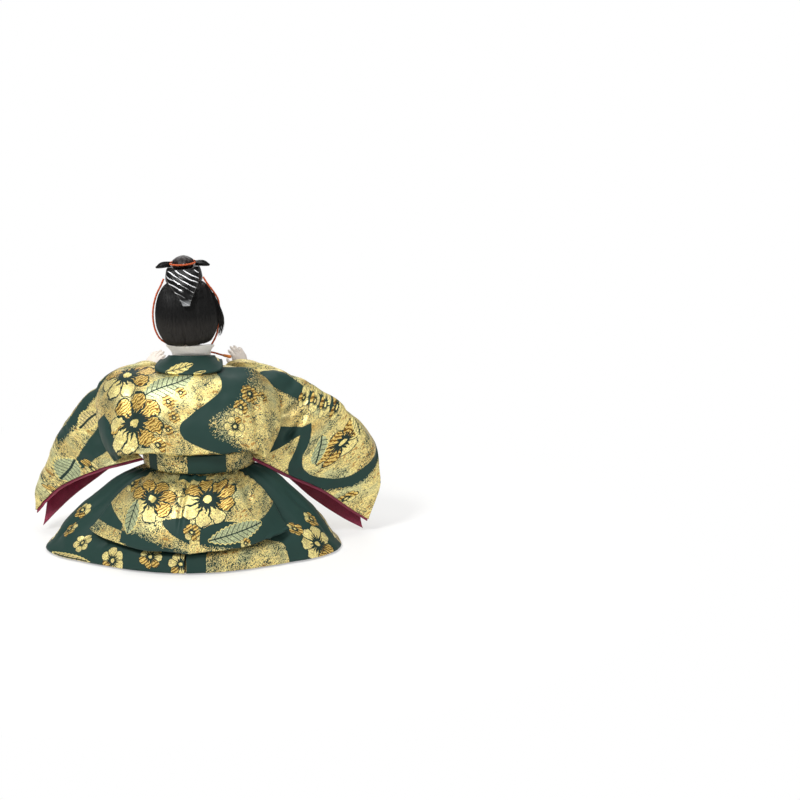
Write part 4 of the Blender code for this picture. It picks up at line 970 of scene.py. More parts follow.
sleeveSpecs = {
    "left": {"rows": [
        [(24.8, 15.5, 48.2), (35, 8, 57), (41, 4, 71), (36, 1, 85), (24.5, -12, 77), (23.5, -16, 62),
         (24, -16, 47.5)],
        [(44, 11, 42), (50.5, 3, 55), (52, 0, 70), (39, -3.5, 88.2), (23, -14.5, 77), (25, -18.5, 58),
         (36, -17.5, 39)],
        [(61, 0, 33), (67, -6, 46), (63, -8, 64), (37.5, -10, 88.5), (19.5, -18, 75), (35, -22.5, 51),
         (49, -20.5, 30)],
        [(74, -8, 23.5), (77.5, -13, 35), (67, -18, 58.5), (31, -16.5, 89), (18, -21.5, 74),
         (53, -25, 40.5), (65.5, -20, 17.5)],
        [(84.5, -14, 12), (82.5, -20, 28), (62, -28, 57), (27.5, -20.5, 89.5), (17.5, -25.5, 73),
         (70, -26.4, 35), (80.5, -17.5, 3.2)],
    ], "outward": (0.5, 1, 0.6), "seed": 61.0,
        "creases": ((30, 26, 56, 40, 3.4, 1.4), (29, 14, 60, 18, 3.0, 1.0), (48, 40, 76, 56, 3.0, 0.9),
                    (39, 34, 51, 52, 2.6, 0.8), (39, -20, 64, -50, 3.0, 0.7), (50, 4, 72, 32, 2.6, 0.8),
                    (45, 44, 76, 70, 2.4, 0.7))},
    "right": {"rows": [
        [(-31.8, 15.5, 48.6), (-36.5, 8, 57), (-40, 4, 71), (-36, 1, 85), (-24.5, -12, 77), (-24.5, -16, 62),
         (-26, -17, 47.5)],
        [(-47, 10, 38.5), (-54, 3, 52), (-57, 0, 69), (-42, -3, 87.8), (-23, -14.5, 78),
         (-25.5, -18.5, 58), (-38, -18, 36)],
        [(-65, 1, 27.5), (-73, -4, 43), (-75, -8, 68.5), (-40, -9, 88.5), (-20, -18, 76), (-34, -22, 53),
         (-54, -20.5, 21)],
        [(-79, -7, 15), (-87, -9, 31), (-86, -14, 55), (-32, -15.5, 89.8), (-18, -21, 75), (-56, -25, 39),
         (-71, -19.5, 9)],
        [(-88.5, -13, 7), (-94.5, -14, 31), (-83, -23, 58), (-27.5, -20, 90.5), (-17, -25, 74),
         (-74.5, -26.2, 32), (-85, -17.5, 1.8)],
    ], "outward": (-0.5, 1, 0.6), "seed": 62.0,
        "creases": ((-32, 20, -52, 22, 2.2, 1.6), (-49, 24, -41, 38, 2.4, 1.6), (-35, 10, -63, 12, 3.0, 0.8),
                    (-54, 44, -78, 50, 3.2, 0.9), (-39, -20, -64, -50, 3.0, 0.7),
                    (-40, 30, -54, 56, 2.2, 0.8), (-62, 26, -83, 38, 2.8, 0.8),
                    (-54, 60, -78, 90, 2.6, 0.8))},
}
sleeveCloth = {"across": 170, "down": 120, "soft": 0.8, "deep": 1.3}
liningPast = {0: 1.4, -1: 0.8}   # mm that the lining stands out past the brocade behind and in front


for side, spec in sleeveSpecs.items():
    sign = 1 if side == "left" else -1

    def sleeveLayout(s, t):
        # the jacket's layout goes on over the sleeve: across it from the shoulder, and down from the ridge
        return sign * (30 + t), -s

    longer = [[Vector(p) for p in row] for row in spec["rows"]]
    for row in longer:
        for end, inward in ((0, 1), (-1, -2)):
            row[end] += (row[end] - row[inward]).normalized() * liningPast[end]
    spec = dict(spec, **sleeveCloth)
    piece = clothPiece(f"{side}Sleeve", surfaceOf(spec["rows"]), dict(spec, thickness=0.8), sleeveLayout)
    dress(piece, "torso", "brocade", brocades[f"{side.title()}Sleeve"], f"{side}_sleeve", "draped")
    piece = clothPiece(f"{side}SleeveLining", surfaceOf(longer), dict(spec, thickness=0.5, inset=1.2),
                       sleeveLayout)
    dress(piece, "torso", "lining", wineSilk, f"{side}_sleeve_lining", "draped")
print("garments made")


# closed forms and cords

def closedForm(name, place, around, rows):
    # a ball whose rings follow place(t, angle, spread); spread is 0 at the two poles
    bm = bmesh.new()
    bmesh.ops.create_uvsphere(bm, u_segments=around, v_segments=rows + 2, radius=1.0)
    for v in bm.verts:
        ring = round(math.acos(max(-1.0, min(1.0, v.co.z))) / math.pi * (rows + 2))
        angle = math.atan2(v.co.y, v.co.x)
        if ring in (0, rows + 2):
            v.co = place(1.0 if ring == 0 else 0.0, 0.0, 0.0)
        else:
            v.co = place(1.0 - (ring - 1) / rows, angle, 1.0)
    bmesh.ops.recalc_face_normals(bm, faces=bm.faces[:])
    return meshPiece(name, bm)


def lengthOf(path):
    return sum((b - a).length for a, b in zip(path, path[1:]))


def evenPath(points, step, closed=False):
    # the curve through the points, cut into steps of about one length
    if closed:
        fine = [along([*points[-3:], *points, *points[:3]], (3 + i / 60) / (len(points) + 5))
                for i in range(len(points) * 60)]
        fine.append(fine[0])
    else:
        fine = [along(points, i / 1500) for i in range(1501)]
    length = lengthOf(fine)
    count = max(4, round(length / step))
    kept, run = [fine[0]], 0.0
    for a, b in zip(fine, fine[1:]):
        run += (b - a).length
        while len(kept) < count and run >= length / count * len(kept):
            kept.append(b)
    return kept if closed else kept + [fine[-1]]


plait = {"twist": 2.4, "second": 0.5, "secondTwist": -1.6}   # its turn in radians per mm, and a finer strand


def tubePiece(name, path, radiusAt, around, closed=False, plaited=0.0):
    # a tube along a path; the attribute alongMm holds the place along it and the turn round it
    count = len(path)
    bm = bmesh.new()
    down = count if closed else count - 1
    bmesh.ops.create_grid(bm, x_segments=around, y_segments=down, size=0.5)
    laid = bm.verts.layers.float_vector.new("alongMm")
    frames, normal = [], None
    for i, centre in enumerate(path):
        before = path[i - 1] if closed or i else centre
        after = path[(i + 1) % count] if closed or i < count - 1 else centre
        ahead = (after - before).normalized()
        if normal is None:
            normal = ahead.orthogonal()
        normal = (normal - ahead * normal.dot(ahead)).normalized()
        frames.append((centre, normal.copy(), ahead.cross(normal)))
    step = (path[1] - path[0]).length / mm
    for v in bm.verts:
        i, j = round((v.co.x + 0.5) * around), round((v.co.y + 0.5) * down)
        turn = math.tau * i / around
        centre, side, up = frames[j % count]
        share = j / down
        radius = radiusAt(share)
        if plaited:
            at = plait["twist"] * j * step
            finer = math.cos(3 * turn + plait["secondTwist"] * at)
            radius *= 1 + plaited * (math.cos(2 * turn + at) + plait["second"] * finer)
        v.co = centre + (side * math.cos(turn) + up * math.sin(turn)) * radius
        v[laid] = (j * step, i / around, share)
    bmesh.ops.remove_doubles(bm, verts=bm.verts[:], dist=0.000001)
    if not closed:
        bmesh.ops.holes_fill(bm, edges=[e for e in bm.edges if e.is_boundary])
    bmesh.ops.recalc_face_normals(bm, faces=bm.faces[:])
    return meshPiece(name, bm)


def attributeLook(name, attribute, stretch, roughness, colours, bump, wave=None, **sockets):
    # threads or strands that run along a piece's own attribute, with painted shade: darker in the gaps
    # between them, where the bump is low
    material, tree, shader = newMaterial(name)
    place = put(tree, "Attribute", out=1, attribute_name=attribute)
    place = put(tree, "VectorMath", place, stretch, operation="MULTIPLY")
    grain = put(tree, "TexNoise", {"Vector": place, "Scale": 1.0, "Detail": 3.0, "Roughness": 0.6})
    even = put(tree, "MapRange", grain, 0.32, 0.68)
    if wave:
        bands = put(tree, "TexWave", {"Vector": place, "Scale": wave}, bands_direction="DIAGONAL")
        even = put(tree, "Math", even, bands, operation="MULTIPLY")
    low, high = (hexLinear(code) for code in colours)
    fill(shader, {
        "Base Color": put(tree, "Mix", {0: even, 6: low, 7: high}, **colourMix),
        "Roughness": put(tree, "MapRange", {0: even, 3: roughness[0], 4: roughness[1]}),
        "Normal": put(tree, "Bump", {"Height": even, "Strength": 0.6, "Distance": bump}), **sockets})
    return material


# under the clothes: cotton leg rolls and the undersleeves of white crepe

bodyWidth = 0.1   # metres; the tables below are in shares of it
# loose cotton, a dull warm white with a woolly surface
cottonWadding = plainMaterial("cottonWadding", "#D9CBB0", "#C4B494", 0.9, 900.0, 0.0003)
legRolls = {
    "radius": 6.6, "height": 2.9, "rise": 7.0,   # mm; its middle lies that high, with the rise shrinking
    "route": [(0.27, 0.23), (0.43, 0.14), (0.50, -0.05), (0.40, -0.26), (0.14, -0.35)],
    "sizes": (1.0, 1.0, 1.0, 0.93, 0.86),
    "ties": (0.15, 0.38, 0.61, 0.84), "tieDepth": 0.10, "tieWidth": 0.02,
}
for side, word in ((1, "left"), (-1, "right")):
    points = [Vector((x * bodyWidth * side, y * bodyWidth,
                      (legRolls["height"] + legRolls["rise"] * size) * mm))
              for (x, y), size in zip(legRolls["route"], legRolls["sizes"])]
    path = evenPath(points, 0.0012)

    def rollRadius(share):
        size = along(legRolls["sizes"], share)
        ties = sum(swell(share, at, legRolls["tieWidth"]) for at in legRolls["ties"])
        tied = 1 - legRolls["tieDepth"] * ties
        rounded = math.sqrt(1 - max(0.0, (abs(share - 0.5) - 0.44) / 0.06) ** 2 * 0.6)   # at both ends
        return legRolls["radius"] * mm * size * tied * rounded

    piece = tubePiece(f"{word}LegRoll", path, rollRadius, 40)
    dress(piece, "torso", "padding", cottonWadding, f"{word}_leg_roll")

armRoutes = {
    "left": [(0.24, 0.09, 0.84), (0.285, 0.08, 0.78), (0.335, 0.035, 0.675), (0.335, -0.06, 0.66),
             (0.305, -0.16, 0.735), (0.260, -0.235, 0.815)],
    "right": [(-0.24, 0.09, 0.84), (-0.285, 0.08, 0.78), (-0.335, 0.035, 0.675), (-0.335, -0.06, 0.66),
              (-0.305, -0.155, 0.745), (-0.255, -0.225, 0.835)],
}
cuff = {"radius": 4.25, "slims": 1.2, "rumple": 0.22, "edge": 0.35}   # mm
for side, route in armRoutes.items():
    points = [Vector(p) * bodyWidth for p in route]
    path = evenPath([along(points, 0.03 + 0.955 * i / 20) for i in range(21)], 0.0004)

    def cuffed(share):
        rumple = cuff["rumple"] * math.sin(share * 58 + 2 * math.sin(share * 17)) * smoothStep(0, 0.15, share)
        edge = cuff["edge"] * smoothStep(0.93, 0.95, share) * smoothStep(1.0, 0.985, share)
        return (cuff["radius"] - cuff["slims"] * share + rumple + edge) * mm

    piece = tubePiece(f"{side}Undersleeve", path, cuffed, 48)
    dress(piece, "torso", "padding", whiteCrepe, f"{side}_arm_padding")


# the band's knot in front

knot = {"size": 7.5, "out": 5.2, "height": 47.2, "depth": 0.42, "swell": 0.52,
        "pinch": 0.10}   # mm, then shares of the size
knotFront = waistPoint(1, 1, knot["out"] * mm)
knotFront.z = knot["height"] * mm


def knotPlace(t, angle, spread):
    out = math.sin(math.pi * (0.12 + 0.80 * t)) ** 0.5 * knot["swell"] * spread
    out *= 1 - knot["pinch"] * math.cos(5 * angle) * math.sin(math.pi * t)
    flat = Vector((math.cos(angle) * out, -knot["depth"] * t, math.sin(angle) * out * 0.8))
    return knotFront + flat * knot["size"] * mm


piece = closedForm("waistKnot", knotPlace, 60, 30)
markPoints(piece, "clothMm", lambda at: (at.x / mm * 1.4, at.z / mm * 1.4 + 8, 0))
dress(piece, "torso", "brocade", brocades["Band"], "waist_knot")


# the head: a face of gofun, shell white polished over carved wood

headFrame = Matrix.Translation((0.0005, 0.003, 0.098)) @ Matrix.Rotation(math.radians(3), 4, "Y")
headSize = 0.050
headTable = [  # height, half width, half depth and centre's depth, as shares of the head's size
    (0.006, 0.110, 0.110, 0.000), (0.120, 0.104, 0.104, 0.000), (0.165, 0.120, 0.130, -0.020),
    (0.195, 0.165, 0.195, -0.045), (0.245, 0.205, 0.238, -0.036), (0.320, 0.238, 0.264, -0.024),
    (0.420, 0.256, 0.276, -0.016), (0.540, 0.252, 0.278, -0.010), (0.640, 0.224, 0.252, 0.000),
    (0.710, 0.165, 0.185, 0.008), (0.745, 0.080, 0.090, 0.010),
]
faceForms = [  # bumps and hollows: across, height, half width, half height, out, as shares of the head
    (0.0, 0.372, 0.022, 0.034, 0.032), (0.0, 0.430, 0.018, 0.050, 0.012),    # tip of the nose, its bridge
    (0.018, 0.362, 0.012, 0.014, 0.008), (-0.018, 0.362, 0.012, 0.014, 0.008),    # its wings
    (0.085, 0.440, 0.055, 0.032, -0.010), (-0.085, 0.440, 0.055, 0.032, -0.010),  # hollows of the eyes
    (0.085, 0.428, 0.040, 0.014, 0.007), (-0.085, 0.428, 0.040, 0.014, 0.007),    # eyeballs
    (0.0, 0.312, 0.030, 0.010, 0.009), (0.0, 0.292, 0.024, 0.010, 0.009),    # lips
    (0.0, 0.302, 0.034, 0.004, -0.004), (0.0, 0.270, 0.030, 0.012, -0.005),  # the line between, and below
    (0.0, 0.232, 0.045, 0.026, 0.010),                                       # chin
    (0.115, 0.345, 0.060, 0.055, 0.008), (-0.115, 0.345, 0.060, 0.055, 0.008),    # cheeks
]


def headPoint(share):
    return headFrame @ (Vector(share) * headSize)


def headPlace(t, angle, spread):
    row = along([Vector(r) for r in headTable], t)
    if not spread:
        return headPoint((0, row[3], row[0] + (0.004 if t > 0.5 else 0)))
    x = row[1] * math.cos(angle)
    y = row[2] * math.sin(angle) + row[3]
    if y < 0.05:
        for across, height, w, h, out in faceForms:
            y -= out * swell(x, across, w) * swell(row[0], height, h)
    return headPoint((x, y, row[0]))


def inHead(at):
    return (intoHead @ at) / headSize


intoHead = headFrame.inverted()
piece = closedForm("headShell", headPlace, 200, 170)
markPoints(piece, "facePlace", inHead)

# gofun: ground shell in glue, brushed on and polished, a warm white with a soft polish and a little depth
gofun, tree, shader = newMaterial("gofunFace")
place = put(tree, "Attribute", out=1, attribute_name="facePlace")
grain = put(tree, "TexNoise", {"Vector": place, "Scale": 60.0, "Detail": 4.0})
colour = put(tree, "Mix", {0: grain, 6: hexLinear("#F3EADF"), 7: hexLinear("#EFE2D6")}, **colourMix)
x, y, height = put(tree, "SeparateXYZ", place).node.outputs
across = put(tree, "Math", x, operation="ABSOLUTE")
front = put(tree, "Math", y, -0.02, operation="LESS_THAN")
facePaint = (  # colour, across, height, half width, half height, softness, and how much its middle rises
    ("#EFCFC0", 0.125, 0.345, 0.075, 0.060, 0.95, 0.0),      # cheeks
    ("#8A8078", 0.088, 0.512, 0.046, 0.0095, 0.55, 3.0),     # brows
    ("#FBF7F0", 0.086, 0.424, 0.036, 0.0085, 0.25, 2.2),     # whites of the eyes
    ("#2A211C", 0.084, 0.426, 0.011, 0.0085, 0.25, 0.0),     # irises
    ("#1D1815", 0.087, 0.4335, 0.041, 0.0042, 0.35, 3.4),    # upper lids
    ("#A79488", 0.086, 0.4130, 0.030, 0.0018, 0.60, -1.5),   # lower lids
    ("#B5392F", 0.0, 0.3035, 0.027, 0.0125, 0.30, 0.0),      # lips
    ("#7D221F", 0.0, 0.3035, 0.026, 0.0016, 0.40, 0.0),      # the line between them
)


for code, x, z, w, h, soft, rise in facePaint:   # soft ellipses on both halves of the face
    dx = put(tree, "Math", across, x, operation="SUBTRACT")
    dz = put(tree, "Math", height, z, operation="SUBTRACT")
    sag = put(tree, "Math", dx, dx, operation="MULTIPLY")
    dz = put(tree, "Math", sag, rise, dz, operation="MULTIPLY_ADD")
    dx = put(tree, "Math", dx, w, operation="DIVIDE")
    dz = put(tree, "Math", dz, h, operation="DIVIDE")
    far = put(tree, "Math", dx, dx, operation="MULTIPLY")
    far = put(tree, "Math", dz, dz, far, operation="MULTIPLY_ADD")
    mask = put(tree, "MapRange", far, 1.0 - soft, 1.0 + soft, 1.0, 0.0)
    mask = put(tree, "Math", mask, front, operation="MULTIPLY")
    colour = put(tree, "Mix", {0: mask, 6: colour, 7: hexLinear(code)}, **colourMix)
fill(shader, {
    "Base Color": colour, "Roughness": 0.42, "Subsurface Weight": 0.12, "Subsurface Scale": 0.001,
    "Subsurface Radius": (1.0, 0.5, 0.3),
    "Normal": put(tree, "Bump", {"Height": grain, "Strength": 0.15, "Distance": 0.0001}),
})
dress(piece, "head", "skin_coat", gofun, "head")

# hands: the carved hand made smooth, in the same shell white

handCoat = {"voxel": 0.00016, "softness": 0.5, "times": 8}   # metres, and how far the carving is rounded
gofunHand = plainMaterial("gofunHands", "#EFE7DD", "#E6DACE", 0.42, 500.0, 0.00003)
for side in ("left", "right"):
    bm = bmesh.new()
    bm.from_mesh(bpy.data.objects[f"{side}_hand"].data)
    bmesh.ops.remove_doubles(bm, verts=bm.verts[:], dist=0.000001)
    piece = meshPiece(f"{side}HandShell", bm)
    grid = piece.modifiers.new("even", "REMESH")
    grid.mode = "VOXEL"
    grid.voxel_size = handCoat["voxel"]
    grid.use_smooth_shade = True
    soft = piece.modifiers.new("soft", "SMOOTH")
    soft.factor = handCoat["softness"]
    soft.iterations = handCoat["times"]
    dress(piece, f"{side}_hand", "skin_coat", gofunHand, f"{side}_hand")
print("head and hands made")


# hair: a bob of combed black silk strands

dullCoat = {"Specular IOR Level": 0.3}   # less shine than bare plastic has
hairTable = [  # height, half width, half depth and centre's depth of its outer face
    (0.155, 0.228, 0.286, 0.00), (0.190, 0.254, 0.322, 0.00), (0.240, 0.280, 0.343, 0.00),
    (0.320, 0.306, 0.356, 0.00), (0.420, 0.311, 0.354, 0.004), (0.520, 0.300, 0.336, 0.008),
    (0.620, 0.270, 0.302, 0.012), (0.700, 0.224, 0.252, 0.012), (0.752, 0.168, 0.188, 0.010),
]
hairLocks = {  # bearings in degrees, lowest share of the table, grid, the side it faces, CAD node
    "hairBack": (6.2, 173.8, 0.0, 380, 130, (0, 1, 0), "hair_back"),
    "hairSideLeft": (-34, 5.8, 0.03, 100, 120, (1, 0, 0), "hair_side_left"),
    "hairSideRight": (174.2, 214, 0.03, 100, 120, (-1, 0, 0), "hair_side_right"),
    "hairFringe": (215, 325, 0.64, 240, 50, (0, -1, 0), "hair_fringe"),
}
hair = {
    "thickness": 2.6, "groove": 0.13, "sunk": 0.12, "partDepth": 0.55, "partWidth": 0.7,   # mm
    "notch": 0.080, "notchWidth": 3.4,    # share of the table and degrees: two lobes behind
    # painted light: below these heights the hair's black turns browner, where the lower hair is lit
    "litBelow": (0.1210, 0.1150),          # metres up, where it turns to a browner black
    "strandRadius": 0.00009, "strandsPerDegree": 5.0,   # metres, and a third of the real number
}


def hairPlace(bearing, share, out=0.0):
    row = along([Vector(r) for r in hairTable], share)
    a = math.radians(bearing)
    return headPoint(((row[1] + out) * math.cos(a), (row[2] + out) * math.sin(a) + row[3], row[0]))


# combed raw silk dyed black: each lock has fine streaks of light along it
hairSilk = attributeLook("hairSilk", "clothMm", (5.5, 0.16, 1.0), (0.50, 0.30), ("#050505", "#151414"),
                         0.00008, **dullCoat)
# single threads of the same silk, dull where they lie alone
hairStrand = plainMaterial("hairStrands", "#0D0C0C", "#050505", 0.45, 900.0, **dullCoat)
# painted light: the lower hair is painted a browner black where it is lit, and the glossy top stays black
for silk in (hairSilk, hairStrand):
    tree = silk.node_tree
    base = tree.nodes["Principled BSDF"].inputs["Base Color"]
    height = put(tree, "SeparateXYZ", put(tree, "TexCoord", out=3)).node.outputs[2]
    lower = put(tree, "MapRange", height, *hair["litBelow"])
    litBrown = put(tree, "Mix", {0: lower, 6: base.links[0].from_socket, 7: hexLinear("#24211E")}, **colourMix)
    tree.links.new(litBrown, base)
for name, (start, end, low, columns, rows, outward, node) in hairLocks.items():
    def lockPlace(u, v):
        bearing = start + (end - start) * u
        ragged = 0.012 * noise.noise(Vector((bearing / 2.3, 0, 1)))
        ragged += 0.010 * noise.noise(Vector((bearing / 0.7, 0, 4)))
        if not low:
            ragged = ragged * 1.6 + hair["notch"] * swell(bearing, 90, hair["notchWidth"])
        foot = max(0.0, low + ragged)
        return hairPlace(bearing, 1.0 + (foot - 1.0) * v)

    def combed(u, v, s, t):
        fine = noise.noise(Vector((s / 0.42, t / 26, 3))) + 0.6 * noise.noise(Vector((s / 0.2, t / 15, 8)))
        broad = 1.6 * noise.noise(Vector((s / 3.1, t / 40, 5)))
        lift = hair["groove"] * (fine + broad) * smoothStep(0, 0.12, v) - hair["sunk"]
        if name == "hairBack":   # the parting down the middle
            lift -= hair["partDepth"] * swell(s, 0, hair["partWidth"]) * smoothStep(0.5, 0.8, v)
        return lift

    piece = clothPiece(name, lockPlace, dict(across=columns, down=rows, thickness=hair["thickness"],
                                             outward=outward, soft=0.0, folds=combed))
    dress(piece, "head", "hair", hairSilk, node)

# single strands over the locks, with the ragged ends and the few that stand off
curve = bpy.data.curves.new("strands", "CURVE")
curve.dimensions = "3D"
curve.bevel_depth = hair["strandRadius"]
curve.bevel_resolution = 0
curve.use_fill_caps = True
noise.seed_set(11)   # the same strands at each run
strand = {  # shares of the table for its places, and of the head for its ways out of the locks
    "rows": ((4, 176, 0.0), (-34, 6, 0.03), (174, 214, 0.03), (215, 325, 0.64)),   # from, to, lowest place
    "points": 10, "top": 0.98, "below": 0.014, "ragged": 0.05, "notch": 0.085,
    "lift": 0.0012, "loose": 0.0035, "stray": 0.010, "straysFrom": 0.985, "tuck": 0.006,
    "partDepth": 0.018, "partWidth": 2.4, "hang": 0.28,
}


def strandLine(placeAt, widthAt):
    # one more thread in the curve, through places for shares of its length from 0 to 1
    line = curve.splines.new("POLY")
    line.points.add(strand["points"] - 1)
    for i, point in enumerate(line.points):
        f = i / (strand["points"] - 1)
        point.co = (*placeAt(f), 1)
        point.radius = widthAt(f)


for start, end, low in strand["rows"]:
    count = int((end - start) * hair["strandsPerDegree"])
    for n in range(count):
        draw = [noise.random() for _ in range(6)]
        bearing = start + (end - start) * (n + draw[0]) / count
        foot = low + (strand["ragged"] * draw[1] ** 3 - strand["below"])
        foot += strand["notch"] * swell(bearing, 90, hair["notchWidth"])
        top = strand["top"] - 0.25 * draw[2] ** 2
        loose = strand["stray"] if draw[3] > strand["straysFrom"] else strand["loose"]

        def strandPlace(f):
            share = max(top + (foot - top) * f, -0.02)
            wander = (draw[4] - 0.5) * 2.4 * math.sin(3 * f + 6 * draw[5])
            parted = strand["partDepth"] * swell(bearing, 90, strand["partWidth"]) * smoothStep(0.35, 0.65, f)
            out = strand["lift"] + loose * f * f * draw[5] - strand["tuck"] * (1 - f) ** 4 - parted
            p = hairPlace(bearing + wander, max(share, 0.0), out)
            if share < 0:   # past the table's end it hangs straight down
                p += headFrame.to_3x3() @ Vector((0, 0, share * strand["hang"] * headSize))
            return p

        strandLine(strandPlace, lambda f: 1.0 - 0.5 * f ** 3)
# a lock that hangs loose at the doll's right
strayLock = {
    "count": 220, "thickness": 0.044,
    "route": [Vector(p) for p in ((-0.270, 0.03, 0.62), (-0.298, 0.03, 0.52), (-0.324, 0.025, 0.43),
                                  (-0.340, 0.02, 0.345), (-0.334, 0.01, 0.27), (-0.306, 0.0, 0.18))],
}
for n in range(strayLock["count"]):
    draw = [noise.random() - 0.5 for _ in range(4)]
    reach = 0.66 + 0.34 * abs(2 * draw[0]) if n % 3 else 0.70
    aside = Vector((draw[1], draw[2] * 1.4, 0.5 * draw[3]))

    def strayPlace(f):
        spread = 0.014 + strayLock["thickness"] * math.sin(math.pi * min(1.0, f * 0.72 + 0.08))
        return headPoint(along(strayLock["route"], f * reach) + aside * spread)

    strandLine(strayPlace, lambda f: 1.15 - 0.6 * f ** 3)
holder = bpy.data.objects.new("strandHolder", curve)
strands = newItem("hairStrands", bpy.data.meshes.new_from_object(holder))
bpy.data.objects.remove(holder)
dress(strands, "head", "hair", hairStrand)
print("hair made")


# the hat: stiff lacquered gauze, a small crown with leaves at its sides and a soft wrinkled bag behind

def ringForm(name, table, around, rows, ridges=None):
    # rings from a table of height, half width, half depth and centre's depth, as shares of the head's size
    def place(t, angle, spread):
        row = along([Vector(r) for r in table], t)
        ridge = ridges(t, angle) if ridges else 0.0
        return headPoint(((row[1] + ridge) * math.cos(angle) * spread,
                          (row[2] + ridge) * math.sin(angle) * spread + row[3], row[0]))

    return closedForm(name, place, around, rows)


capTable = [(0.760, 0.182, 0.200, 0.000), (0.790, 0.185, 0.202, 0.000), (0.840, 0.178, 0.194, 0.000),
            (0.880, 0.168, 0.182, 0.000), (0.898, 0.155, 0.168, 0.000)]
crownTable = [(0.905, 0.104, 0.126, 0.000), (0.940, 0.106, 0.125, 0.000), (0.970, 0.092, 0.104, -0.010),
              (0.992, 0.058, 0.068, -0.020), (1.004, 0.022, 0.030, -0.026)]
bagTable = [  # centre, half width, half depth
    ((-0.018, 0.236, 0.895), 0.160, 0.036), ((-0.018, 0.280, 0.822), 0.156, 0.048),
    ((-0.028, 0.318, 0.750), 0.126, 0.050), ((-0.038, 0.348, 0.680), 0.082, 0.042),
    ((-0.043, 0.372, 0.618), 0.050, 0.034), ((-0.046, 0.384, 0.575), 0.034, 0.022),
]
leafTable = [
    [(0.118, 0.020, 0.909), (0.124, 0.026, 0.932), (0.118, 0.020, 0.955)],
    [(0.206, 0.032, 0.904), (0.208, 0.040, 0.930), (0.204, 0.032, 0.952)],
    [(0.264, 0.030, 0.904), (0.270, 0.034, 0.910), (0.262, 0.030, 0.917)],
]
peakTable = [
    [(-0.120, -0.176, 0.800), (0.000, -0.215, 0.800), (0.120, -0.176, 0.800)],
    [(-0.100, -0.188, 0.860), (0.000, -0.222, 0.860), (0.100, -0.188, 0.860)],
    [(-0.030, -0.212, 0.925), (0.000, -0.218, 0.930), (0.030, -0.212, 0.925)],
]

# black urushi lacquer on stiffened gauze: a deep black with a soft, slightly uneven gloss
lacquer = plainMaterial("blackLacquer", "#0B0909", "#050404", 0.32, 700.0, 0.00004, **dullCoat)
# thinner, browner lacquer, under which the gauze shows as grain
crownLacquer = plainMaterial("crownLacquer", "#23110F", "#0A0505", 0.34, 900.0, 0.00006, **dullCoat)
dress(ringForm("hatCap", capTable, 120, 40), "head", "hat_lacquer", lacquer, "hat_cap")

crownRidge = {"height": 0.006, "count": 9, "slant": 4, "dents": 0.004}   # shares of the head's size


def crownRidges(t, angle):
    ridge = math.cos(crownRidge["count"] * angle + crownRidge["slant"] * t)
    dent = noise.noise(Vector((math.cos(angle) * 3, math.sin(angle) * 3, t * 6)))
    return crownRidge["height"] * ridge * math.sin(math.pi * min(1.0, t * 1.15)) + crownRidge["dents"] * dent


dress(ringForm("hatCrown", crownTable, 120, 50, crownRidges), "head", "hat_lacquer", crownLacquer,
      "hat_crown")

bag = {"wrinkle": 0.010, "lines": 7.5, "slant": 7.5, "sharpness": 1.6}   # depth as a share of the head's size


def bagPlace(t, angle, spread):
    t = 1 - t
    centres, sizes = [Vector(r[0]) for r in bagTable], [Vector((r[1], r[2], 0)) for r in bagTable]
    centre, size = along(centres, t), along(sizes, t)
    ahead = (along(centres, min(1, t + 0.02)) - along(centres, max(0, t - 0.02))).normalized()
    up = Vector((1, 0, 0)).cross(ahead)
    side, out = math.cos(angle) * size.x, math.sin(angle) * size.y
    slant = t * 4.6 + side * bag["slant"] + 0.5 * noise.noise(Vector((side * 9, t * 3, 2)))
    crest = abs(math.sin(slant * bag["lines"] / 4.6 * 0.5 * math.pi)) ** bag["sharpness"]
    depth = bag["wrinkle"] * (crest - 0.5) * math.sin(math.pi * min(1.0, 0.12 + t * 0.88))
    puff = Vector((side, 0, 0)) + up * (out + depth * math.sin(angle))
    return headPoint(centre + puff * spread)


piece = closedForm("hatBag", bagPlace, 160, 150)
markPoints(piece, "facePlace", inHead)
# black silk gauze with painted reflections: near-white, partly metallic streaks along the wrinkles stand in
# for its gloss catching the light
bagGauze, tree, shader = newMaterial("silveredGauze")
glossStreaks = {"slant": (-0.50, 0.0, 0.86), "lines": 138.0, "waver": 0.05, "tip": (0.640, 0.585), "tipShare": 0.75}
place = put(tree, "Attribute", out=1, attribute_name="facePlace")
slant = put(tree, "VectorMath", place, glossStreaks["slant"], out=1, operation="DOT_PRODUCT")
bent = put(tree, "TexNoise", {"Vector": place, "Scale": 6.0, "Detail": 1.0})
streaks = put(tree, "Math", bent, glossStreaks["waver"], slant, operation="MULTIPLY_ADD")
patchy = put(tree, "TexNoise", {"Vector": place, "Scale": 5.0, "Detail": 2.0})
patchy = put(tree, "MapRange", patchy, 0.40, 0.60, -0.20, 0.12)
for operation, *others in (("MULTIPLY", glossStreaks["lines"]), ("SINE",), ("ADD", patchy)):
    streaks = put(tree, "Math", streaks, *others, operation=operation)
streaks = put(tree, "MapRange", streaks, 0.84, 1.00)
height = put(tree, "SeparateXYZ", place).node.outputs[2]
tip = put(tree, "MapRange", {0: height, 1: glossStreaks["tip"][0], 2: glossStreaks["tip"][1], 4: glossStreaks["tipShare"]})
colour = hexLinear("#050506")
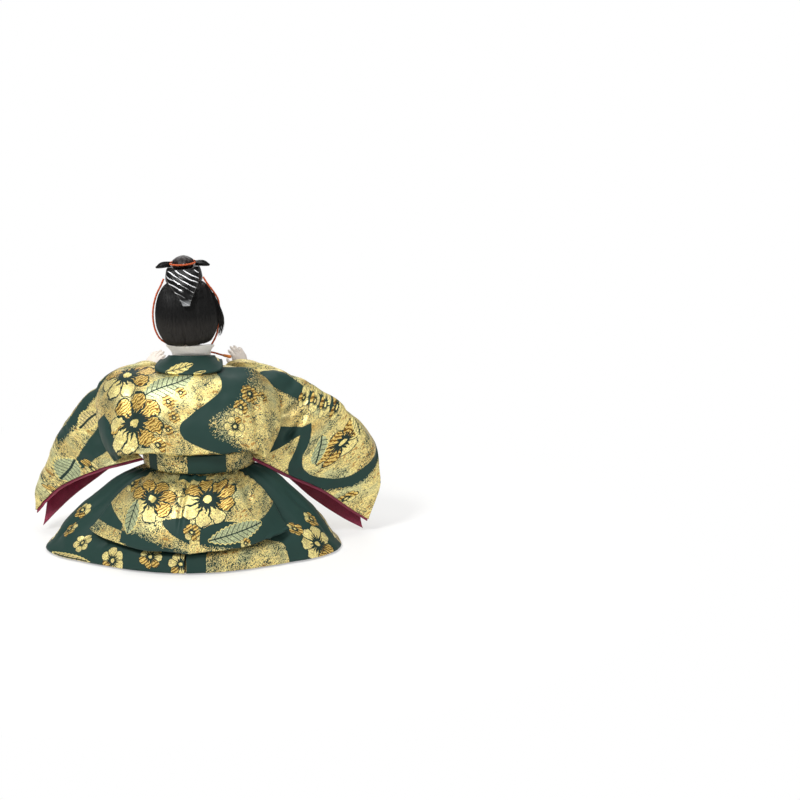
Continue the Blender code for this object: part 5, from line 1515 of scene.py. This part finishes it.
# painted reflection: near-white streaks mixed into the black, and a grey towards the tip
for mask, code in ((streaks, "#EDEEF0"), (tip, "#A9ACAF")):
    colour = put(tree, "Mix", {0: mask, 6: colour, 7: hexLinear(code)}, **colourMix)
mesh = put(tree, "TexNoise", {"Vector": place, "Scale": 150.0, "Detail": 2.0})
fill(shader, {
    "Base Color": colour,
    "Roughness": put(tree, "MapRange", {0: streaks, 3: 0.30, 4: 0.36}),
    "Metallic": put(tree, "Math", streaks, 0.35, operation="MULTIPLY"),
    "Normal": put(tree, "Bump", {"Height": mesh, "Strength": 0.25, "Distance": 0.00005}),
    **dullCoat,
})
dress(piece, "head", "hat_lacquer", bagGauze, "hat_bag")

plate = {"thickness": 0.8, "ribs": 6, "ribHeight": 0.06, "rimHeight": 0.10, "rimWidth": 0.05}   # mm; share


def plateFolds(u, v, s, t):
    rib = plate["ribHeight"] * math.cos(math.tau * plate["ribs"] * u) * math.sin(math.pi * v)
    return rib + plate["rimHeight"] * (swell(u, 0, plate["rimWidth"]) + swell(u, 1, plate["rimWidth"]))

for name, table, mirror, outward, down, node in (
        ("hatLeafLeft", leafTable, 1, (0, 1, 0), 30, "hat_wing_left"),
        ("hatLeafRight", leafTable, -1, (0, 1, 0), 30, "hat_wing_right"),
        ("hatPeak", peakTable, 1, (0, -1, 0.2), 34, "hat_peak")):
    net = [[headPoint((x * mirror, y, z)) for x, y, z in row] for row in table]
    piece = clothPiece(name, sheetOf(net), dict(
        across=40, down=down, thickness=plate["thickness"], outward=outward, soft=0.0, folds=plateFolds))
    dress(piece, "head", "hat_lacquer", lacquer, node)
print("hat made")


# orange cords of plaited silk

# plaited silk: bright orange ridges with painted shade in the gaps between them, and a soft shine along each
# thread
cordSilk = attributeLook("orangeCordSilk", "alongMm", (3.2, 9.0, 0.0), (0.62, 0.50), ("#B33D12", "#F3813A"),
                         0.00006, wave=1.1)
# the same silk combed loose: paler, with straight threads and the same painted shade between them
cordFloss = attributeLook("cordEndFloss", "alongMm", (0.8, 22.0, 0.0), (0.60, 0.48), ("#C95718", "#F6A24A"),
                          0.00006)
cords = {
    "radius": 0.5 * mm, "knotRadius": 1.4 * mm,
    "core": 0.92, "ringCore": 0.94,     # of the radius; the strands stand proud of it
    "plaited": 0.07, "tailPlaited": 0.06,
    "step": 0.18 * mm, "around": 16,
    "flossFrom": 0.66, "flossSwell": 0.75,
}
leftCord = [
    (0.196, 0.050, 0.795), (0.232, 0.046, 0.725), (0.280, 0.040, 0.640), (0.316, 0.030, 0.540),
    (0.336, 0.018, 0.430), (0.334, 0.004, 0.320), (0.316, -0.014, 0.235), (0.282, -0.040, 0.165),
    (0.220, -0.110, 0.105), (0.125, -0.190, 0.055), (0.000, -0.238, 0.012), (-0.100, -0.246, -0.014),
]
rightCord = [
    (-0.196, 0.050, 0.795), (-0.232, 0.046, 0.725), (-0.282, 0.020, 0.640), (-0.318, -0.050, 0.540),
    (-0.316, -0.120, 0.430), (-0.304, -0.160, 0.320), (-0.286, -0.170, 0.235), (-0.262, -0.180, 0.155),
    (-0.222, -0.195, 0.080), (-0.172, -0.222, 0.010),
]
tailCord = [(-0.172, -0.222, -0.026), (-0.235, -0.165, -0.028), (-0.310, -0.100, -0.038),
            (-0.400, -0.045, -0.050)]
for name, route, node in (("chinCordLeft", leftCord, "chin_cord_left"),
                          ("chinCordRight", rightCord, "chin_cord_right")):
    path = evenPath([headPoint(p) for p in route], cords["step"])
    piece = tubePiece(name, path, lambda share: cords["radius"] * cords["core"], cords["around"],
                      plaited=cords["plaited"])
    piece.data.materials.append(cordSilk)
    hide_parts(node)
    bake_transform(piece)
    tuple(path[0])
    lengthOf(path)
    [tuple(p) for p in path]


def tailRadius(share):
    past = max(0.0, share - cords["flossFrom"]) / (2 - 2 * cords["flossFrom"])
    return cords["radius"] * (cords["core"] + cords["flossSwell"] * math.sin(math.pi * past) ** 0.6)


tail = tubePiece("cordTail", evenPath([headPoint(p) for p in tailCord], cords["step"]), tailRadius, 20,
                 plaited=cords["tailPlaited"])
dress(tail, "neck_stick", "orange_cord", cordFloss, "cord_tail")
tail.data.materials.append(cordSilk)
laid = tail.data.attributes["alongMm"].data
for polygon in tail.data.polygons:
    share = sum(laid[i].vector[2] for i in polygon.vertices) / len(polygon.vertices)
    polygon.material_index = 1 if share < cords["flossFrom"] else 0

knotCentre = headPoint((-0.138, -0.244, -0.020))


def chinKnotPlace(t, angle, spread):
    polar = math.pi * (0.04 + 0.92 * t)
    lobes = 1 + 0.09 * math.cos(3 * angle + 6 * t) + 0.05 * math.cos(7 * angle - 9 * t)
    out = math.sin(polar) * spread
    at = Vector((out * math.cos(angle), out * math.sin(angle), -math.cos(polar)))
    return knotCentre + at * cords["knotRadius"] * lobes * 0.95


def knotThread(at):
    x, y, z = (at - knotCentre) / mm
    return z * 1.5 + x, math.atan2(y, x) / math.tau, 0


piece = closedForm("chinKnot", chinKnotPlace, 60, 40)
markPoints(piece, "alongMm", knotThread)
dress(piece, "neck_stick", "orange_cord", cordSilk, "chin_knot")

hatRing = [headPoint((0.126 * math.cos(a), 0.146 * math.sin(a), 0.940))
           for a in [math.tau * i / 24 for i in range(24)]]
piece = tubePiece("hatCord", evenPath(hatRing, cords["step"], closed=True),
                  lambda share: cords["radius"] * cords["ringCore"], cords["around"], closed=True,
                  plaited=cords["plaited"])
dress(piece, "head", "orange_cord", cordSilk, "hat_cord")
print("cords made")


# the hidden frame keeps its CAD shapes and gets real finishes

# straw bound up in white paper: a matt off-white with the ridges of the stalks down it
paperedStraw = plainMaterial("paperOverStraw", "#EBE5D8", "#D8CDB6", 0.85, 500.0, 0.0004, (1, 1, 0.10))
# planed paulownia, a pale dry wood with grain along the board
paulownia = plainMaterial("paulowniaWood", "#BE9A6A", "#A07C4E", 0.7, 420.0, 0.0001, (0.08, 1, 1))
# wood under a thin coat of ground shell: chalky white, with the grain just showing down the stick
neckWood = plainMaterial("gofunCoatedWood", "#E6DFD3", "#D3C4AA", 0.65, 700.0, 0.0001, (1, 1, 0.08))
# twisted hemp, brown and hairy
hempThread = plainMaterial("hempThread", "#A98A57", "#7E6234", 0.85, 2200.0, 0.0002)
# annealed iron wire, grey with a dull metal shine
ironWire = plainMaterial("annealedWire", "#77746F", "#57534D", 0.45, 900.0, Metallic=0.9)
for node, material in (("body_core", paperedStraw), ("base_board", paulownia), ("neck_stick", neckWood),
                       ("upper_binding", hempThread), ("lower_binding", hempThread), ("arm_wire", ironWire)):
    for place in bpy.data.objects[node].material_slots:
        place.material = material


# the size each cloth was cut to, looked up for each sheet

cuts = {  # width and length of each cloth as it was cut, in metres
    "TrouserLeg": (0.210, 0.075),
    "trouserSeat": (0.116, 0.058),
    "waistBand": (0.180, 0.0105),
    "jacketBack": (0.122, 0.058),
    "jacketFront": (0.038, 0.076),
    "outerCollar": (0.150, 0.013),
    "innerCollar": (0.078, 0.0105),
    "leftSleeve": (0.062, 0.102),
    "rightSleeve": (0.072, 0.108),
}
for piece, held in sheets:
    size = next(value for key, value in cuts.items() if key in piece.name)
